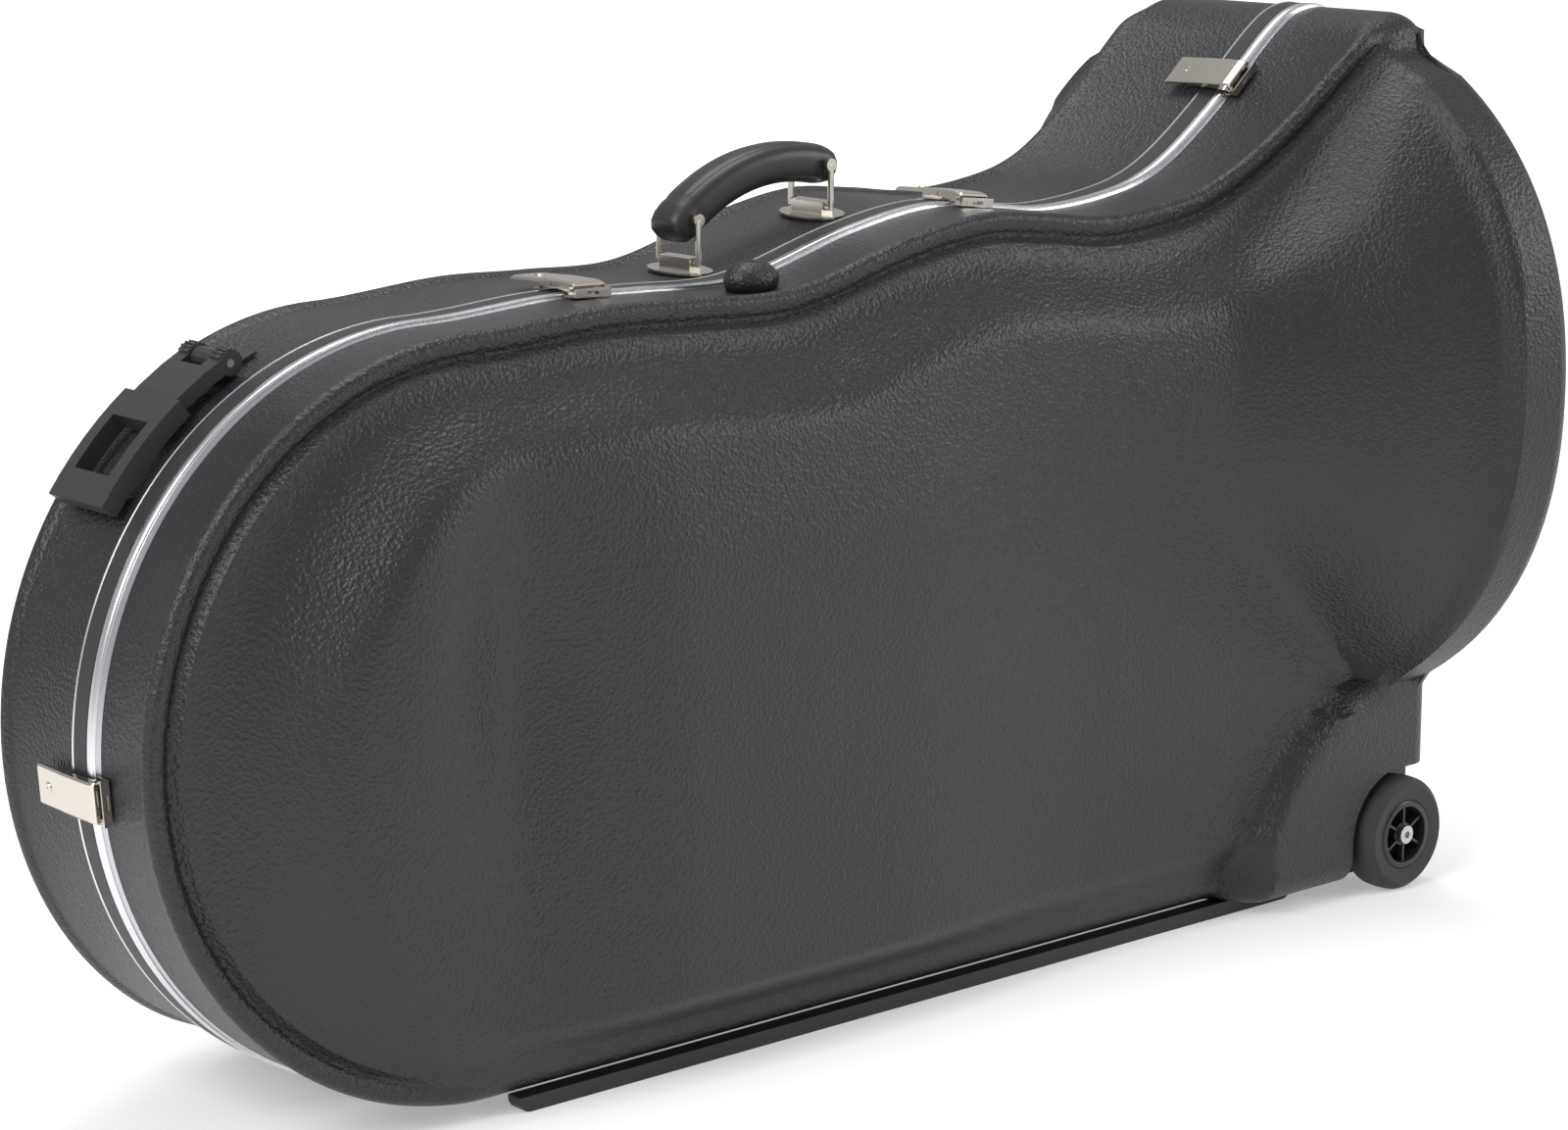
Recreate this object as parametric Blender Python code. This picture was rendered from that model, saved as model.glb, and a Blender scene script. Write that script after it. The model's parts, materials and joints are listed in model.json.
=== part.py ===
"""Wheeled hard case for a tuba. Metres, +Z up, +X towards the bell end, -Y towards the lid.

The origin is under the middle of the case's box. Both half shells come from one surface: a rim outline in
the X-Z plane and a depth for every point inside it, measured outwards from the parting plane.
"""

import math

import bmesh
import bpy
from mathutils import Matrix, Vector

# Overall form
CASE_LENGTH = 1.006  # shells, from the bow's left side to the flat bell end
CASE_BOTTOM = 0.010  # clearance under the shells
BOW_RADIUS = 0.224
BELL_TOP = 0.6030
BELL_HALF_HEIGHT = 0.243
BELL_HALF_DEPTH = 0.257
BELL_BAND = 0.050  # straight band at the bell end
BELL_SQUARENESS = 2.2
END_CORNER = 0.026
SEAM_OFFSET = 0.030  # parting plane, in front of the middle
FACE_HALF_DEPTH = 0.122  # general face, from the middle plane
PLATEAU_RISE = 0.014
WHEEL_PANEL_HALF_DEPTH = 0.138
WHEEL_PANEL_RADIUS = 0.138

# Walls and clearances
SHELL_WALL = 0.0035
LINING_WALL = 0.005
LINING_GAP = 0.0085
CLEARANCE = 0.0004
RIM_INSET = 0.018  # from the rim to where the sculpted face starts
GROOVE_DEPTH = 0.006
RIDGE_PROUD = 0.0012

# Closing extrusions
VALANCE_PROUD = 0.0022
FRONT_VALANCE_WIDTH = 0.0060
FRONT_LIP_WIDTH = 0.0030
REAR_VALANCE_WIDTH = 0.0100
REAR_FLANGE_WIDTH = 0.0210
BEAD_WIDTH = 0.0062
TRIM_LINE_WIDTH = 0.0016
INLAY_RECESS = 0.0012
SEAL_WIDTH = 0.0026
SEAL_DEPTH = 0.0036

# Wheels
WHEEL_RADIUS = 0.040
WHEEL_WIDTH = 0.028
WHEEL_PROUD = 0.0085  # outer face beyond the housing panel
WHEEL_OVERHANG = 0.006  # tread beyond the bell end
WELL_CLEARANCE = 0.007
HUB_RADIUS = 0.024
HUB_RECESS_RADIUS = 0.0185
AXLE_RADIUS = 0.004
HUB_RIBS = 6

# Runners
RUNNER_WIDTH = 0.012
RUNNER_START = 0.232  # from the bow's left side
RUNNER_END_GAP = 0.106  # from the bell end
RUNNER_REACH = 0.104  # outer side, from the middle plane

# Bottom hinges
HINGE_LENGTH = 0.060
HINGE_STATIONS = (0.29, 0.55, 0.81)  # centres, from the bow's left side
HINGE_PIN_RADIUS = 0.0015
HINGE_KNUCKLE_RADIUS = 0.0032
HINGE_LEAF = 0.0017
HINGE_AXIS_Z = 0.0045

# Latches
LATCH_WIDTH = 0.0268
LATCH_HEIGHT = 0.0096
LATCH_BACK = 0.050  # reach of the lever behind the parting plane
LATCH_FRONT = 0.0150  # reach of the base in front of it
LATCH_SHEET = 0.0010
LATCH_PIN_RADIUS = 0.0014
LATCH_PIVOT = (-0.0075, 0.0052)  # behind the parting plane, off the shell
CLAW_PIVOT = (0.0100, 0.0066)
LATCH_DROP = 0.016  # first latch, below the bow's middle
LATCH_STATIONS = (0.339, 0.651)  # second and third, from the bow's left side
LATCH_END_GAP = 0.103  # fourth, from the bell end
LATCH_END_LIFT = 0.0009  # the top line is hollow there

# Carry handle
HANDLE_REACH = 0.112  # between the stirrup eyes
HANDLE_STATION = 0.516  # its middle, from the bow's left side
HANDLE_SPREAD = 0.038  # between the two rods of a stirrup
HANDLE_CENTRE_Y = 0.024
HANDLE_FOOT = 0.0067  # stirrup feet above the top edge
ROD_RADIUS = 0.0021
ROD_LENGTH = 0.027
GRIP_HEIGHT = 0.026
GRIP_WIDTH = 0.031
GRIP_RISE = 0.013
PLATE_LENGTH = 0.058
PLATE_WIDTH = 0.024

# Towing handle
TOW_ANGLE = 117.0  # hinge, in degrees round the bow from +X
TOW_SWEEP = 28.0  # arm, in degrees round the bow
TOW_WIDTH = 0.056
TOW_CENTRE_Y = 0.026
TOW_STANDOFF = 0.0105
TOW_KNUCKLE_RADIUS = 0.0075
TOW_PIN_RADIUS = 0.0025

# Mesh fineness
BOW_STEPS = 8
ARC_STEPS = 4
TOP_STEPS = 16

LATCH_STANDOFF = LATCH_HEIGHT
OVERALL_LENGTH = CASE_LENGTH + LATCH_STANDOFF + WHEEL_OVERHANG
BOW_LEFT = -OVERALL_LENGTH / 2 + LATCH_STANDOFF
END_X = BOW_LEFT + CASE_LENGTH
BOW_X = BOW_LEFT + BOW_RADIUS
BOW_Z = CASE_BOTTOM + BOW_RADIUS
BOW_TOP = BOW_Z + BOW_RADIUS
BELL_Z = BELL_TOP - BELL_HALF_HEIGHT
CREASE_X = END_X - BELL_BAND
SEAM_Y = -SEAM_OFFSET
WHEEL_X = END_X + WHEEL_OVERHANG - WHEEL_RADIUS
WHEEL_Z = WHEEL_RADIUS
WHEEL_FACE = WHEEL_PANEL_HALF_DEPTH + WHEEL_PROUD
WELL_RADIUS = WHEEL_RADIUS + WELL_CLEARANCE
WELL_FLOOR = WHEEL_FACE - WHEEL_WIDTH - 0.004
FRONT, REAR = -1, 1

# The top edge right of the bow: (along X, height)
TOP_LINE = (
    (BOW_X, BOW_TOP),
    (BOW_LEFT + 0.321, BOW_TOP + 0.0055),
    (BOW_LEFT + 0.387, BOW_TOP + 0.0035),
    (BOW_LEFT + 0.464, BOW_TOP + 0.0030),
    (BOW_LEFT + 0.553, BOW_TOP + 0.0255),
    (BOW_LEFT + 0.618, BOW_TOP + 0.0355),
    (END_X - 0.338, BOW_TOP + 0.0320),
    (END_X - 0.281, BOW_TOP + 0.0260),
    (END_X - 0.212, BOW_TOP + 0.0330),
    (END_X - 0.172, BOW_TOP + 0.0470),
    (END_X - 0.125, BOW_TOP + 0.0790),
    (END_X - 0.058, BELL_TOP - 0.0095),
    (END_X - END_CORNER, BELL_TOP),
)
# Depth of the face's edge from the parting plane along the rim: (along X, front, rear)
UPPER_EDGE = (
    (BOW_LEFT, 0.057, 0.104),
    (BOW_LEFT + 0.20, 0.057, 0.115),
    (BOW_LEFT + 0.45, 0.059, 0.127),
    (BOW_LEFT + 0.62, 0.063, 0.137),
    (END_X - 0.170, 0.069, 0.137),
    (END_X - 0.058, 0.087, 0.142),
    (END_X, 0.092, 0.147),
)
LOWER_EDGE = (
    (BOW_LEFT, 0.057, 0.104),
    (BOW_LEFT + 0.08, 0.063, 0.113),
    (BOW_LEFT + 0.20, 0.077, 0.137),
    (END_X, 0.077, 0.137),
)
# Half depth of the bell's flare: (along X, from the middle plane)
FLARE = (
    (END_X - 0.300, 0.110),
    (END_X - 0.210, 0.136),
    (END_X - 0.150, 0.172),
    (END_X - 0.105, 0.208),
    (END_X - BELL_BAND - 0.008, 0.236),
    (END_X - BELL_BAND, 0.250),
    (END_X, BELL_HALF_DEPTH),
)


def ease(low, high, value):
    """0 below low, 1 above high, smooth between."""
    t = min(max((value - low) / (high - low), 0.0), 1.0)
    return t * t * (3 - 2 * t)


def mix(a, b, t):
    return a + (b - a) * t


def along(table, x, column=1):
    """A column of a table read at x, with straight runs between its rows."""
    if x <= table[0][0]:
        return table[0][column]
    for low, high in zip(table, table[1:]):
        if x <= high[0]:
            return mix(low[column], high[column], (x - low[0]) / (high[0] - low[0]))
    return table[-1][column]


def slope_at(index):
    """The top line's slope at one of its points, level at both ends."""
    if index in (0, len(TOP_LINE) - 1):
        return 0.0
    before, after = TOP_LINE[index - 1], TOP_LINE[index + 1]
    return (after[1] - before[1]) / (after[0] - before[0])


def top_height(x):
    """Height of the shells' top edge, a Hermite curve through TOP_LINE right of the bow."""
    if x <= BOW_X:
        return BOW_Z + math.sqrt(max(BOW_RADIUS**2 - (x - BOW_X) ** 2, 0.0))
    corner = END_X - END_CORNER
    if x >= corner:
        reach = min(x - corner, END_CORNER)
        return BELL_TOP - END_CORNER + math.sqrt(END_CORNER**2 - reach**2)
    for i in range(len(TOP_LINE) - 1):
        (x0, z0), (x1, z1) = TOP_LINE[i], TOP_LINE[i + 1]
        if x <= x1:
            t, width = (x - x0) / (x1 - x0), x1 - x0
            rise = slope_at(i) * width * t * (1 - t) ** 2
            fall = slope_at(i + 1) * width * t * t * (1 - t)
            return mix(z0, z1, t * t * (3 - 2 * t)) + rise - fall
    return BELL_TOP


def bottom_height(x):
    """Height of the shells' bottom edge."""
    if x <= BOW_X:
        return BOW_Z - math.sqrt(max(BOW_RADIUS**2 - (x - BOW_X) ** 2, 0.0))
    corner = END_X - END_CORNER
    if x >= corner:
        reach = min(x - corner, END_CORNER)
        return CASE_BOTTOM + END_CORNER - math.sqrt(END_CORNER**2 - reach**2)
    return CASE_BOTTOM


def bell_half_height(x):
    """Half height of the bell's round section at x, its flare following the top edge."""
    if x >= CREASE_X:
        return BELL_HALF_HEIGHT
    return top_height(max(x, BOW_X)) - BELL_Z


def bell_depth(x, z):
    """Half depth of the bell at a point, from the middle plane."""
    reach = abs(z - BELL_Z) / bell_half_height(x)
    if reach >= 1:
        return 0.0
    power = BELL_SQUARENESS
    return along(FLARE, x) * (1 - reach**power) ** (1 / power)


def hill(x, z, at_x, at_z, wide, high):
    """A soft round hill of height 1."""
    return math.exp(-(((x - at_x) / wide) ** 2) - ((z - at_z) / high) ** 2)


def face_height(x, z):
    """Distance of the sculpted face from the middle plane, away from the rim."""
    bow_crest = 0.010 * hill(x, z, BOW_LEFT + 0.150, BOW_Z + 0.055, 0.055, 0.120)
    valley = 0.010 * hill(x, z, BOW_LEFT + 0.220, BOW_Z + 0.030, 0.035, 0.120)
    plateau = ease(BOW_LEFT + 0.245, BOW_LEFT + 0.300, x)
    plateau *= 1 - ease(BOW_LEFT + 0.560, BOW_LEFT + 0.640, x)
    plateau *= 1 - ease(0.370, 0.425, z)
    body = FACE_HALF_DEPTH + bow_crest - valley + PLATEAU_RISE * plateau
    bell = bell_depth(x, z)
    height = 0.5 * (body + bell + math.hypot(body - bell, 0.016))
    from_wheel = math.hypot(x - WHEEL_X, z - CASE_BOTTOM)
    housing = 1 - ease(WHEEL_PANEL_RADIUS - 0.004, WHEEL_PANEL_RADIUS + 0.010, from_wheel)
    return mix(height, max(height, WHEEL_PANEL_HALF_DEPTH), housing)


def face_depth(side, x, z):
    """Depth of the face from the parting plane, falling to its edge near the rim."""
    column = 1 if side == FRONT else 2
    depth = face_height(x, z) + side * SEAM_OFFSET
    upper, lower = along(UPPER_EDGE, x, column), along(LOWER_EDGE, x, column)
    soft = mix(0.13, 0.055, ease(BOW_LEFT, BOW_X, x))
    if x < BOW_X:
        edge = mix(lower, upper, ease(BOW_Z - 0.10, BOW_Z + 0.10, z))
        reach = BOW_RADIUS - math.hypot(x - BOW_X, z - BOW_Z)
        low_soft = mix(0.13, 0.030, ease(BOW_LEFT, BOW_X, x))
        soft = mix(low_soft, soft, ease(BOW_Z - 0.10, BOW_Z + 0.10, z))
        return mix(edge, depth, ease(RIM_INSET, RIM_INSET + soft, reach))
    soft *= 1 - 0.6 * ease(CREASE_X - 0.08, CREASE_X, x)
    depth = mix(upper, depth, ease(RIM_INSET, RIM_INSET + soft, top_height(x) - z))
    housing = WHEEL_PANEL_HALF_DEPTH + side * SEAM_OFFSET
    lower = mix(lower, housing, ease(WHEEL_X - 0.150, WHEEL_X - 0.125, x))
    return mix(lower, depth, ease(RIM_INSET, RIM_INSET + 0.030, z - bottom_height(x)))


def rim_stations():
    """Points round the rim with their outward normals: top, bell end, bottom, bow.

    A station is (x, z, normal x, normal z). Top and bottom stations stand over each other.
    """
    quarter = math.radians(45)
    top = []
    for i in range(ARC_STEPS):
        angle = math.pi - quarter - (math.pi / 2 - quarter) * i / ARC_STEPS
        top.append((BOW_X + BOW_RADIUS * math.cos(angle), math.cos(angle), math.sin(angle)))
    straight = END_X - END_CORNER - BOW_X
    fractions = [i / (TOP_STEPS - 1) for i in range(TOP_STEPS)]
    places = [BOW_X + straight * mix(f, math.sin(f * math.pi / 2), 0.35) for f in fractions]
    nearest = min(range(TOP_STEPS), key=lambda i: abs(places[i] - CREASE_X))
    places[nearest] = CREASE_X
    places[nearest - 1] = CREASE_X - 0.008
    step = 0.0005
    for x in places:
        low, high = max(x - step, BOW_X), min(x + step, END_X - END_CORNER)
        slope = (top_height(high) - top_height(low)) / (high - low)
        size = math.hypot(1, slope)
        top.append((x, -slope / size, 1 / size))
    corner = END_X - END_CORNER + END_CORNER * math.sin(quarter)
    top.append((corner, math.sin(quarter), math.cos(quarter)))
    ring = [(x, top_height(x), nx, nz) for x, nx, nz in top]
    high, low = ring[-1][1], bottom_height(corner)
    shares = []
    for j in range(BOW_STEPS + 1):
        even, eased = j / BOW_STEPS, 0.5 - 0.5 * math.cos(math.pi * j / BOW_STEPS)
        shares.append(mix(even, eased, 0.5))
    for share in shares[1:-1]:
        ring.append((END_X, mix(high, low, share), 1.0, 0.0))
    for x, nx, nz in reversed(top):
        arc = x < BOW_X or x > END_X - END_CORNER
        ring.append((x, bottom_height(x), nx if arc else 0.0, -nz if arc else -1.0))
    for share in reversed(shares[1:-1]):
        angle = math.asin((1 - 2 * share) * math.sin(quarter))
        nx, nz = -math.cos(angle), math.sin(angle)
        ring.append((BOW_X + BOW_RADIUS * nx, BOW_Z + BOW_RADIUS * nz, nx, nz))
    return ring, len(top) - 1, shares


RIM, TOP_COUNT, ROW_SHARES = rim_stations()


def moved_in(station, inset):
    x, z, nx, nz = station
    return x - nx * inset, z - nz * inset


def ridge_share(station):
    """1 where the rim has its raised ridge, 0 where the wall rounds over into the face."""
    x, z, nx, _ = station
    if nx > 0.5 and x > CREASE_X:
        return 0.0
    upper = 1 - ease(CREASE_X - 0.020, CREASE_X + 0.002, x)
    lower = 1 - ease(BOW_LEFT + 0.10, BOW_LEFT + 0.24, x)
    return upper if z > BOW_Z else lower


def rim_profile(side, station, offset, edge):
    """(inset, depth) from the parting edge to the sculpted face, a wall's thickness inside if offset."""
    x, z = moved_in(station, RIM_INSET)
    face = face_depth(side, x, z) - offset
    if offset:
        rows = ((0.0, edge), (0.0012, face - 0.014), (0.006, face - 0.005), (RIM_INSET, face))
        most = END_CORNER - 0.002
        return [(min(inset + offset, most), depth) for inset, depth in rows]
    ridge = (
        (0.0, edge),
        (0.0015, face - 0.0155),
        (-0.4 * RIDGE_PROUD, face - 0.0115),
        (-RIDGE_PROUD, face - 0.0070),
        (0.0022, face - 0.0030),
        (0.0085, face - 0.0035),
        (0.0135, face - GROOVE_DEPTH),
        (RIM_INSET, face),
    )
    plain = (
        (0.0, edge),
        (0.0, face - 0.0240),
        (0.0004, face - 0.0180),
        (0.0020, face - 0.0120),
        (0.0050, face - 0.0070),
        (0.0090, face - 0.0035),
        (0.0135, face - 0.0010),
        (RIM_INSET, face),
    )
    share = ridge_share(station)
    return [(mix(p[0], r[0], share), mix(p[1], r[1], share)) for p, r in zip(plain, ridge)]


def face_grid(side, offset, last_ring, every):
    """Rows of face points between the last ring's top and bottom; its edge points are the ring's."""
    rows = {}
    left, right = last_ring[-1], last_ring[TOP_COUNT]
    count = len(ROW_SHARES) - 1
    inset = RIM_INSET + offset
    for i in range(1, TOP_COUNT):
        top = last_ring[i]
        bottom = last_ring[2 * TOP_COUNT + count - i]
        share = i / TOP_COUNT
        lean_left = 1 - ease(0.0, 0.45, share)
        lean_right = ease(0.80, 1.0, share)
        for j in range(every, count, every):
            bow = last_ring[2 * TOP_COUNT + 2 * count - j]
            end = last_ring[TOP_COUNT + j]
            z = mix(top[2], bottom[2], ROW_SHARES[j])
            x = mix(top[0], bottom[0], ROW_SHARES[j])
            x += lean_left * (bow[0] - last_ring[0][0]) + lean_right * (end[0] - right[0])
            depth = face_depth(side, x, z)
            if offset:
                step = 0.002
                dx = (face_depth(side, x + step, z) - face_depth(side, x - step, z)) / (2 * step)
                dz = (face_depth(side, x, z + step) - face_depth(side, x, z - step)) / (2 * step)
                depth -= offset * min(math.sqrt(1 + dx * dx + dz * dz), 2.5)
            rows[i, j] = (x, SEAM_Y + side * depth, z)
    return rows


def half_form(name, side, offset, edge, every=1):
    """One closed half of the case, offset inwards from the shell's outer skin and flat at the parting."""
    profiles = [rim_profile(side, station, offset, edge) for station in RIM]
    rings = []
    for row in range(len(profiles[0])):
        ring = []
        for station, profile in zip(RIM, profiles):
            x, z = moved_in(station, profile[row][0])
            ring.append((x, SEAM_Y + side * profile[row][1], z))
        rings.append(ring)
    mesh = bmesh.new()
    loops = [[mesh.verts.new(point) for point in ring] for ring in rings]
    total = len(RIM)
    for near, far in zip(loops, loops[1:]):
        for i in range(total):
            k = (i + 1) % total
            mesh.faces.new((near[i], near[k], far[k], far[i]))
    mesh.faces.new(loops[0])
    count = len(ROW_SHARES) - 1
    last = loops[-1]
    inner = {key: mesh.verts.new(point) for key, point in face_grid(side, offset, rings[-1], every).items()}
    steps = list(range(0, count + 1, every))

    def grid_vert(i, j):
        if j == 0:
            return last[i]
        if j == count:
            return last[2 * TOP_COUNT + count - i]
        if i == TOP_COUNT:
            return last[TOP_COUNT + j]
        if i == 0:
            return last[(2 * TOP_COUNT + 2 * count - j) % total]
        return inner[i, j]

    for i in range(TOP_COUNT):
        for low, high in zip(steps, steps[1:]):
            corners = [grid_vert(i, low), grid_vert(i + 1, low)]
            if i + 1 == TOP_COUNT:
                corners += [grid_vert(i + 1, j) for j in range(low + 1, high)]
            corners += [grid_vert(i + 1, high), grid_vert(i, high)]
            if i == 0:
                corners += [grid_vert(0, j) for j in range(high - 1, low, -1)]
            mesh.faces.new(corners)
    return finish(mesh, name)


def finish(mesh, name):
    """A bmesh made into an object in the scene, with its faces turned outwards."""
    bmesh.ops.recalc_face_normals(mesh, faces=mesh.faces)
    data = bpy.data.meshes.new(name)
    mesh.to_mesh(data)
    mesh.free()
    made = bpy.data.objects.new(name, data)
    bpy.context.scene.collection.objects.link(made)
    return made


def material(name, colour, roughness, metallic=0.0):
    made = bpy.data.materials.new(name)
    made.use_nodes = True
    shader = made.node_tree.nodes["Principled BSDF"]
    shader.inputs["Base Color"].default_value = (*colour, 1.0)
    shader.inputs["Roughness"].default_value = roughness
    shader.inputs["Metallic"].default_value = metallic
    made.diffuse_color = (*colour, 1.0)
    return made


def dress(made, colour, roughness, metallic=0.0, angle=35):
    """The piece's own material, and smooth shading up to an angle."""
    made.data.materials.clear()
    made.data.materials.append(material(made.name, colour, roughness, metallic))
    made.data.shade_smooth()
    made.data.set_sharp_from_angle(angle=math.radians(angle))
    return made


CHARCOAL = (0.045, 0.045, 0.052)
BLACK_PLASTIC = (0.020, 0.020, 0.022)
NICKEL = (0.72, 0.69, 0.64)
ALUMINIUM = (0.78, 0.79, 0.80)
PLUSH = (0.030, 0.030, 0.034)
FOAM = (0.060, 0.060, 0.065)
RUBBER = (0.018, 0.018, 0.018)
STEEL = (0.55, 0.55, 0.56)


def helper(made):
    made.hide_render = True
    made.display_type = "WIRE"
    return made


def boolean(made, other, operation):
    step = made.modifiers.new(operation.lower(), "BOOLEAN")
    step.operation = operation
    step.solver = "EXACT"
    step.object = other
    return made


def prism(name, outline, low, high, frame=Matrix.Identity(4)):
    """An outline in a frame's Y-Z plane, extruded along the frame's X from low to high."""
    mesh = bmesh.new()
    face = mesh.faces.new([mesh.verts.new(frame @ Vector((low, y, z))) for y, z in outline])
    grown = bmesh.ops.extrude_face_region(mesh, geom=[face])
    along_x = frame.to_3x3() @ Vector((high - low, 0, 0))
    bmesh.ops.translate(mesh, vec=along_x, verts=[v for v in grown["geom"] if isinstance(v, bmesh.types.BMVert)])
    return finish(mesh, name)


def lathe(name, profile, frame, steps=24):
    """A closed (radius, along) profile turned about the frame's X axis."""
    mesh = bmesh.new()
    rings = []
    for i in range(steps):
        turn = 2 * math.pi * i / steps
        ring = []
        for radius, x in profile:
            place = Vector((x, radius * math.cos(turn), radius * math.sin(turn)))
            ring.append(mesh.verts.new(frame @ place))
        rings.append(ring)
    for i in range(steps):
        near, far = rings[i], rings[(i + 1) % steps]
        for k in range(len(profile)):
            n = (k + 1) % len(profile)
            if profile[k][0] or profile[n][0]:
                mesh.faces.new((near[k], near[n], far[n], far[k]))
    bmesh.ops.remove_doubles(mesh, verts=mesh.verts, dist=1e-6)
    return finish(mesh, name)


def rod(name, radius, low, high, frame, steps=10):
    """A round bar along the frame's X axis."""
    outline = []
    for i in range(steps):
        turn = 2 * math.pi * (i + 0.5) / steps
        outline.append((radius * math.cos(turn), radius * math.sin(turn)))
    return prism(name, outline, low, high, frame)


def loft(name, sections):
    """Closed sections of equal length joined in turn, capped at both ends."""
    mesh = bmesh.new()
    loops = [[mesh.verts.new(point) for point in section] for section in sections]
    for near, far in zip(loops, loops[1:]):
        for i in range(len(near)):
            k = (i + 1) % len(near)
            mesh.faces.new((near[i], near[k], far[k], far[i]))
    mesh.faces.new(loops[0])
    mesh.faces.new(loops[-1])
    return finish(mesh, name)


def rim_band(name, profile):
    """A profile of (outward, behind the parting) points swept all round the rim."""
    mesh = bmesh.new()
    loops = []
    for station in RIM:
        loop = []
        for outward, behind in profile:
            x, z = moved_in(station, -outward)
            loop.append(mesh.verts.new((x, SEAM_Y + behind, z)))
        loops.append(loop)
    for i in range(len(loops)):
        near, far = loops[i], loops[(i + 1) % len(loops)]
        for k in range(len(profile)):
            n = (k + 1) % len(profile)
            mesh.faces.new((near[k], near[n], far[n], far[k]))
    return finish(mesh, name)


def well_outline(radius):
    """Arch over the wheel, open past the bottom and the bell end, as (x, z)."""
    far = END_X + 0.05
    points = [(far, -0.05), (WHEEL_X - radius, -0.05)]
    for i in range(9):
        turn = math.pi - math.radians(80) * i / 8
        points.append((WHEEL_X + radius * math.cos(turn), WHEEL_Z + radius * math.sin(turn)))
    points.append((far, WHEEL_Z + radius * 0.99))
    return points


def arch_block(name, side, radius, floor, ceiling):
    """The arch as a block between two distances from the middle plane."""
    turned = Matrix(((0, 1, 0, 0), (side, 0, 0, 0), (0, 0, 1, 0), (0, 0, 0, 1)))
    return helper(prism(name, well_outline(radius), floor, ceiling, turned))


def build_shell(side, word, edge):
    outer = half_form(word + "_shell", side, 0.0, edge)
    cavity = helper(half_form(word + "_cavity", side, SHELL_WALL, -0.002))
    wall = arch_block(word + "_well_wall", side, WELL_RADIUS + SHELL_WALL, WELL_FLOOR - SHELL_WALL, 0.3)
    boolean(cavity, wall, "DIFFERENCE")
    boolean(outer, cavity, "DIFFERENCE")
    well = arch_block(word + "_well", side, WELL_RADIUS, WELL_FLOOR, 0.3)
    boolean(outer, well, "DIFFERENCE")
    bore = helper(rod(word + "_axle_bore", AXLE_RADIUS + CLEARANCE, 0.05, 0.3, wheel_frame(side)))
    boolean(outer, bore, "DIFFERENCE")
    return dress(outer, CHARCOAL, 0.55)


def build_lining(side, word, edge):
    skin = SHELL_WALL + LINING_GAP
    outer = half_form(word + "_lining", side, skin, edge)
    hollow = helper(half_form(word + "_hollow", side, skin + LINING_WALL, -0.002, every=2))
    boolean(outer, hollow, "DIFFERENCE")
    radius, floor = WELL_RADIUS + SHELL_WALL + 0.002, WELL_FLOOR - SHELL_WALL - 0.014
    room = arch_block(word + "_lining_room", side, radius, floor, 0.3)
    boolean(outer, room, "DIFFERENCE")
    return dress(outer, PLUSH, 0.95)


def build_valances():
    inner = -SHELL_WALL - 0.0018
    groove = -0.0012
    recess = VALANCE_PROUD - INLAY_RECESS
    line = REAR_FLANGE_WIDTH - TRIM_LINE_WIDTH
    front = rim_band(
        "front_valance",
        (
            (VALANCE_PROUD, -CLEARANCE),
            (VALANCE_PROUD, -FRONT_LIP_WIDTH),
            (0.0, -FRONT_LIP_WIDTH),
            (0.0, -FRONT_VALANCE_WIDTH),
            (inner, -FRONT_VALANCE_WIDTH),
            (inner, -CLEARANCE),
        ),
    )
    dress(front, ALUMINIUM, 0.28, 1.0)
    rear = rim_band(
        "rear_valance",
        (
            (VALANCE_PROUD, 0.0),
            (VALANCE_PROUD, BEAD_WIDTH),
            (recess, BEAD_WIDTH),
            (recess, line),
            (VALANCE_PROUD, line),
            (VALANCE_PROUD, REAR_FLANGE_WIDTH),
            (CLEARANCE, REAR_FLANGE_WIDTH),
            (CLEARANCE, REAR_VALANCE_WIDTH),
            (inner, REAR_VALANCE_WIDTH),
            (inner, 0.0),
            (groove - SEAL_WIDTH, 0.0),
            (groove - SEAL_WIDTH, SEAL_DEPTH),
            (groove, SEAL_DEPTH),
            (groove, 0.0),
        ),
    )
    dress(rear, ALUMINIUM, 0.28, 1.0)
    gap = 0.0003
    inlay = rim_band(
        "valance_inlay",
        (
            (recess + gap, BEAD_WIDTH + gap),
            (recess + gap, line - gap),
            (VALANCE_PROUD - 0.0003, line - gap),
            (VALANCE_PROUD - 0.0003, BEAD_WIDTH + gap),
        ),
    )
    dress(inlay, CHARCOAL, 0.6)
    seal = rim_band(
        "seal",
        (
            (groove - gap, 0.0),
            (groove - gap, SEAL_DEPTH - gap),
            (groove - SEAL_WIDTH + gap, SEAL_DEPTH - gap),
            (groove - SEAL_WIDTH + gap, 0.0),
        ),
    )
    dress(seal, RUBBER, 0.8)


def wheel_frame(side):
    """X along the axle, outwards on that side; its origin is on the middle plane."""
    return Matrix(((0, side, 0, WHEEL_X), (side, 0, 0, 0), (0, 0, -1, WHEEL_Z), (0, 0, 0, 1)))


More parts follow.
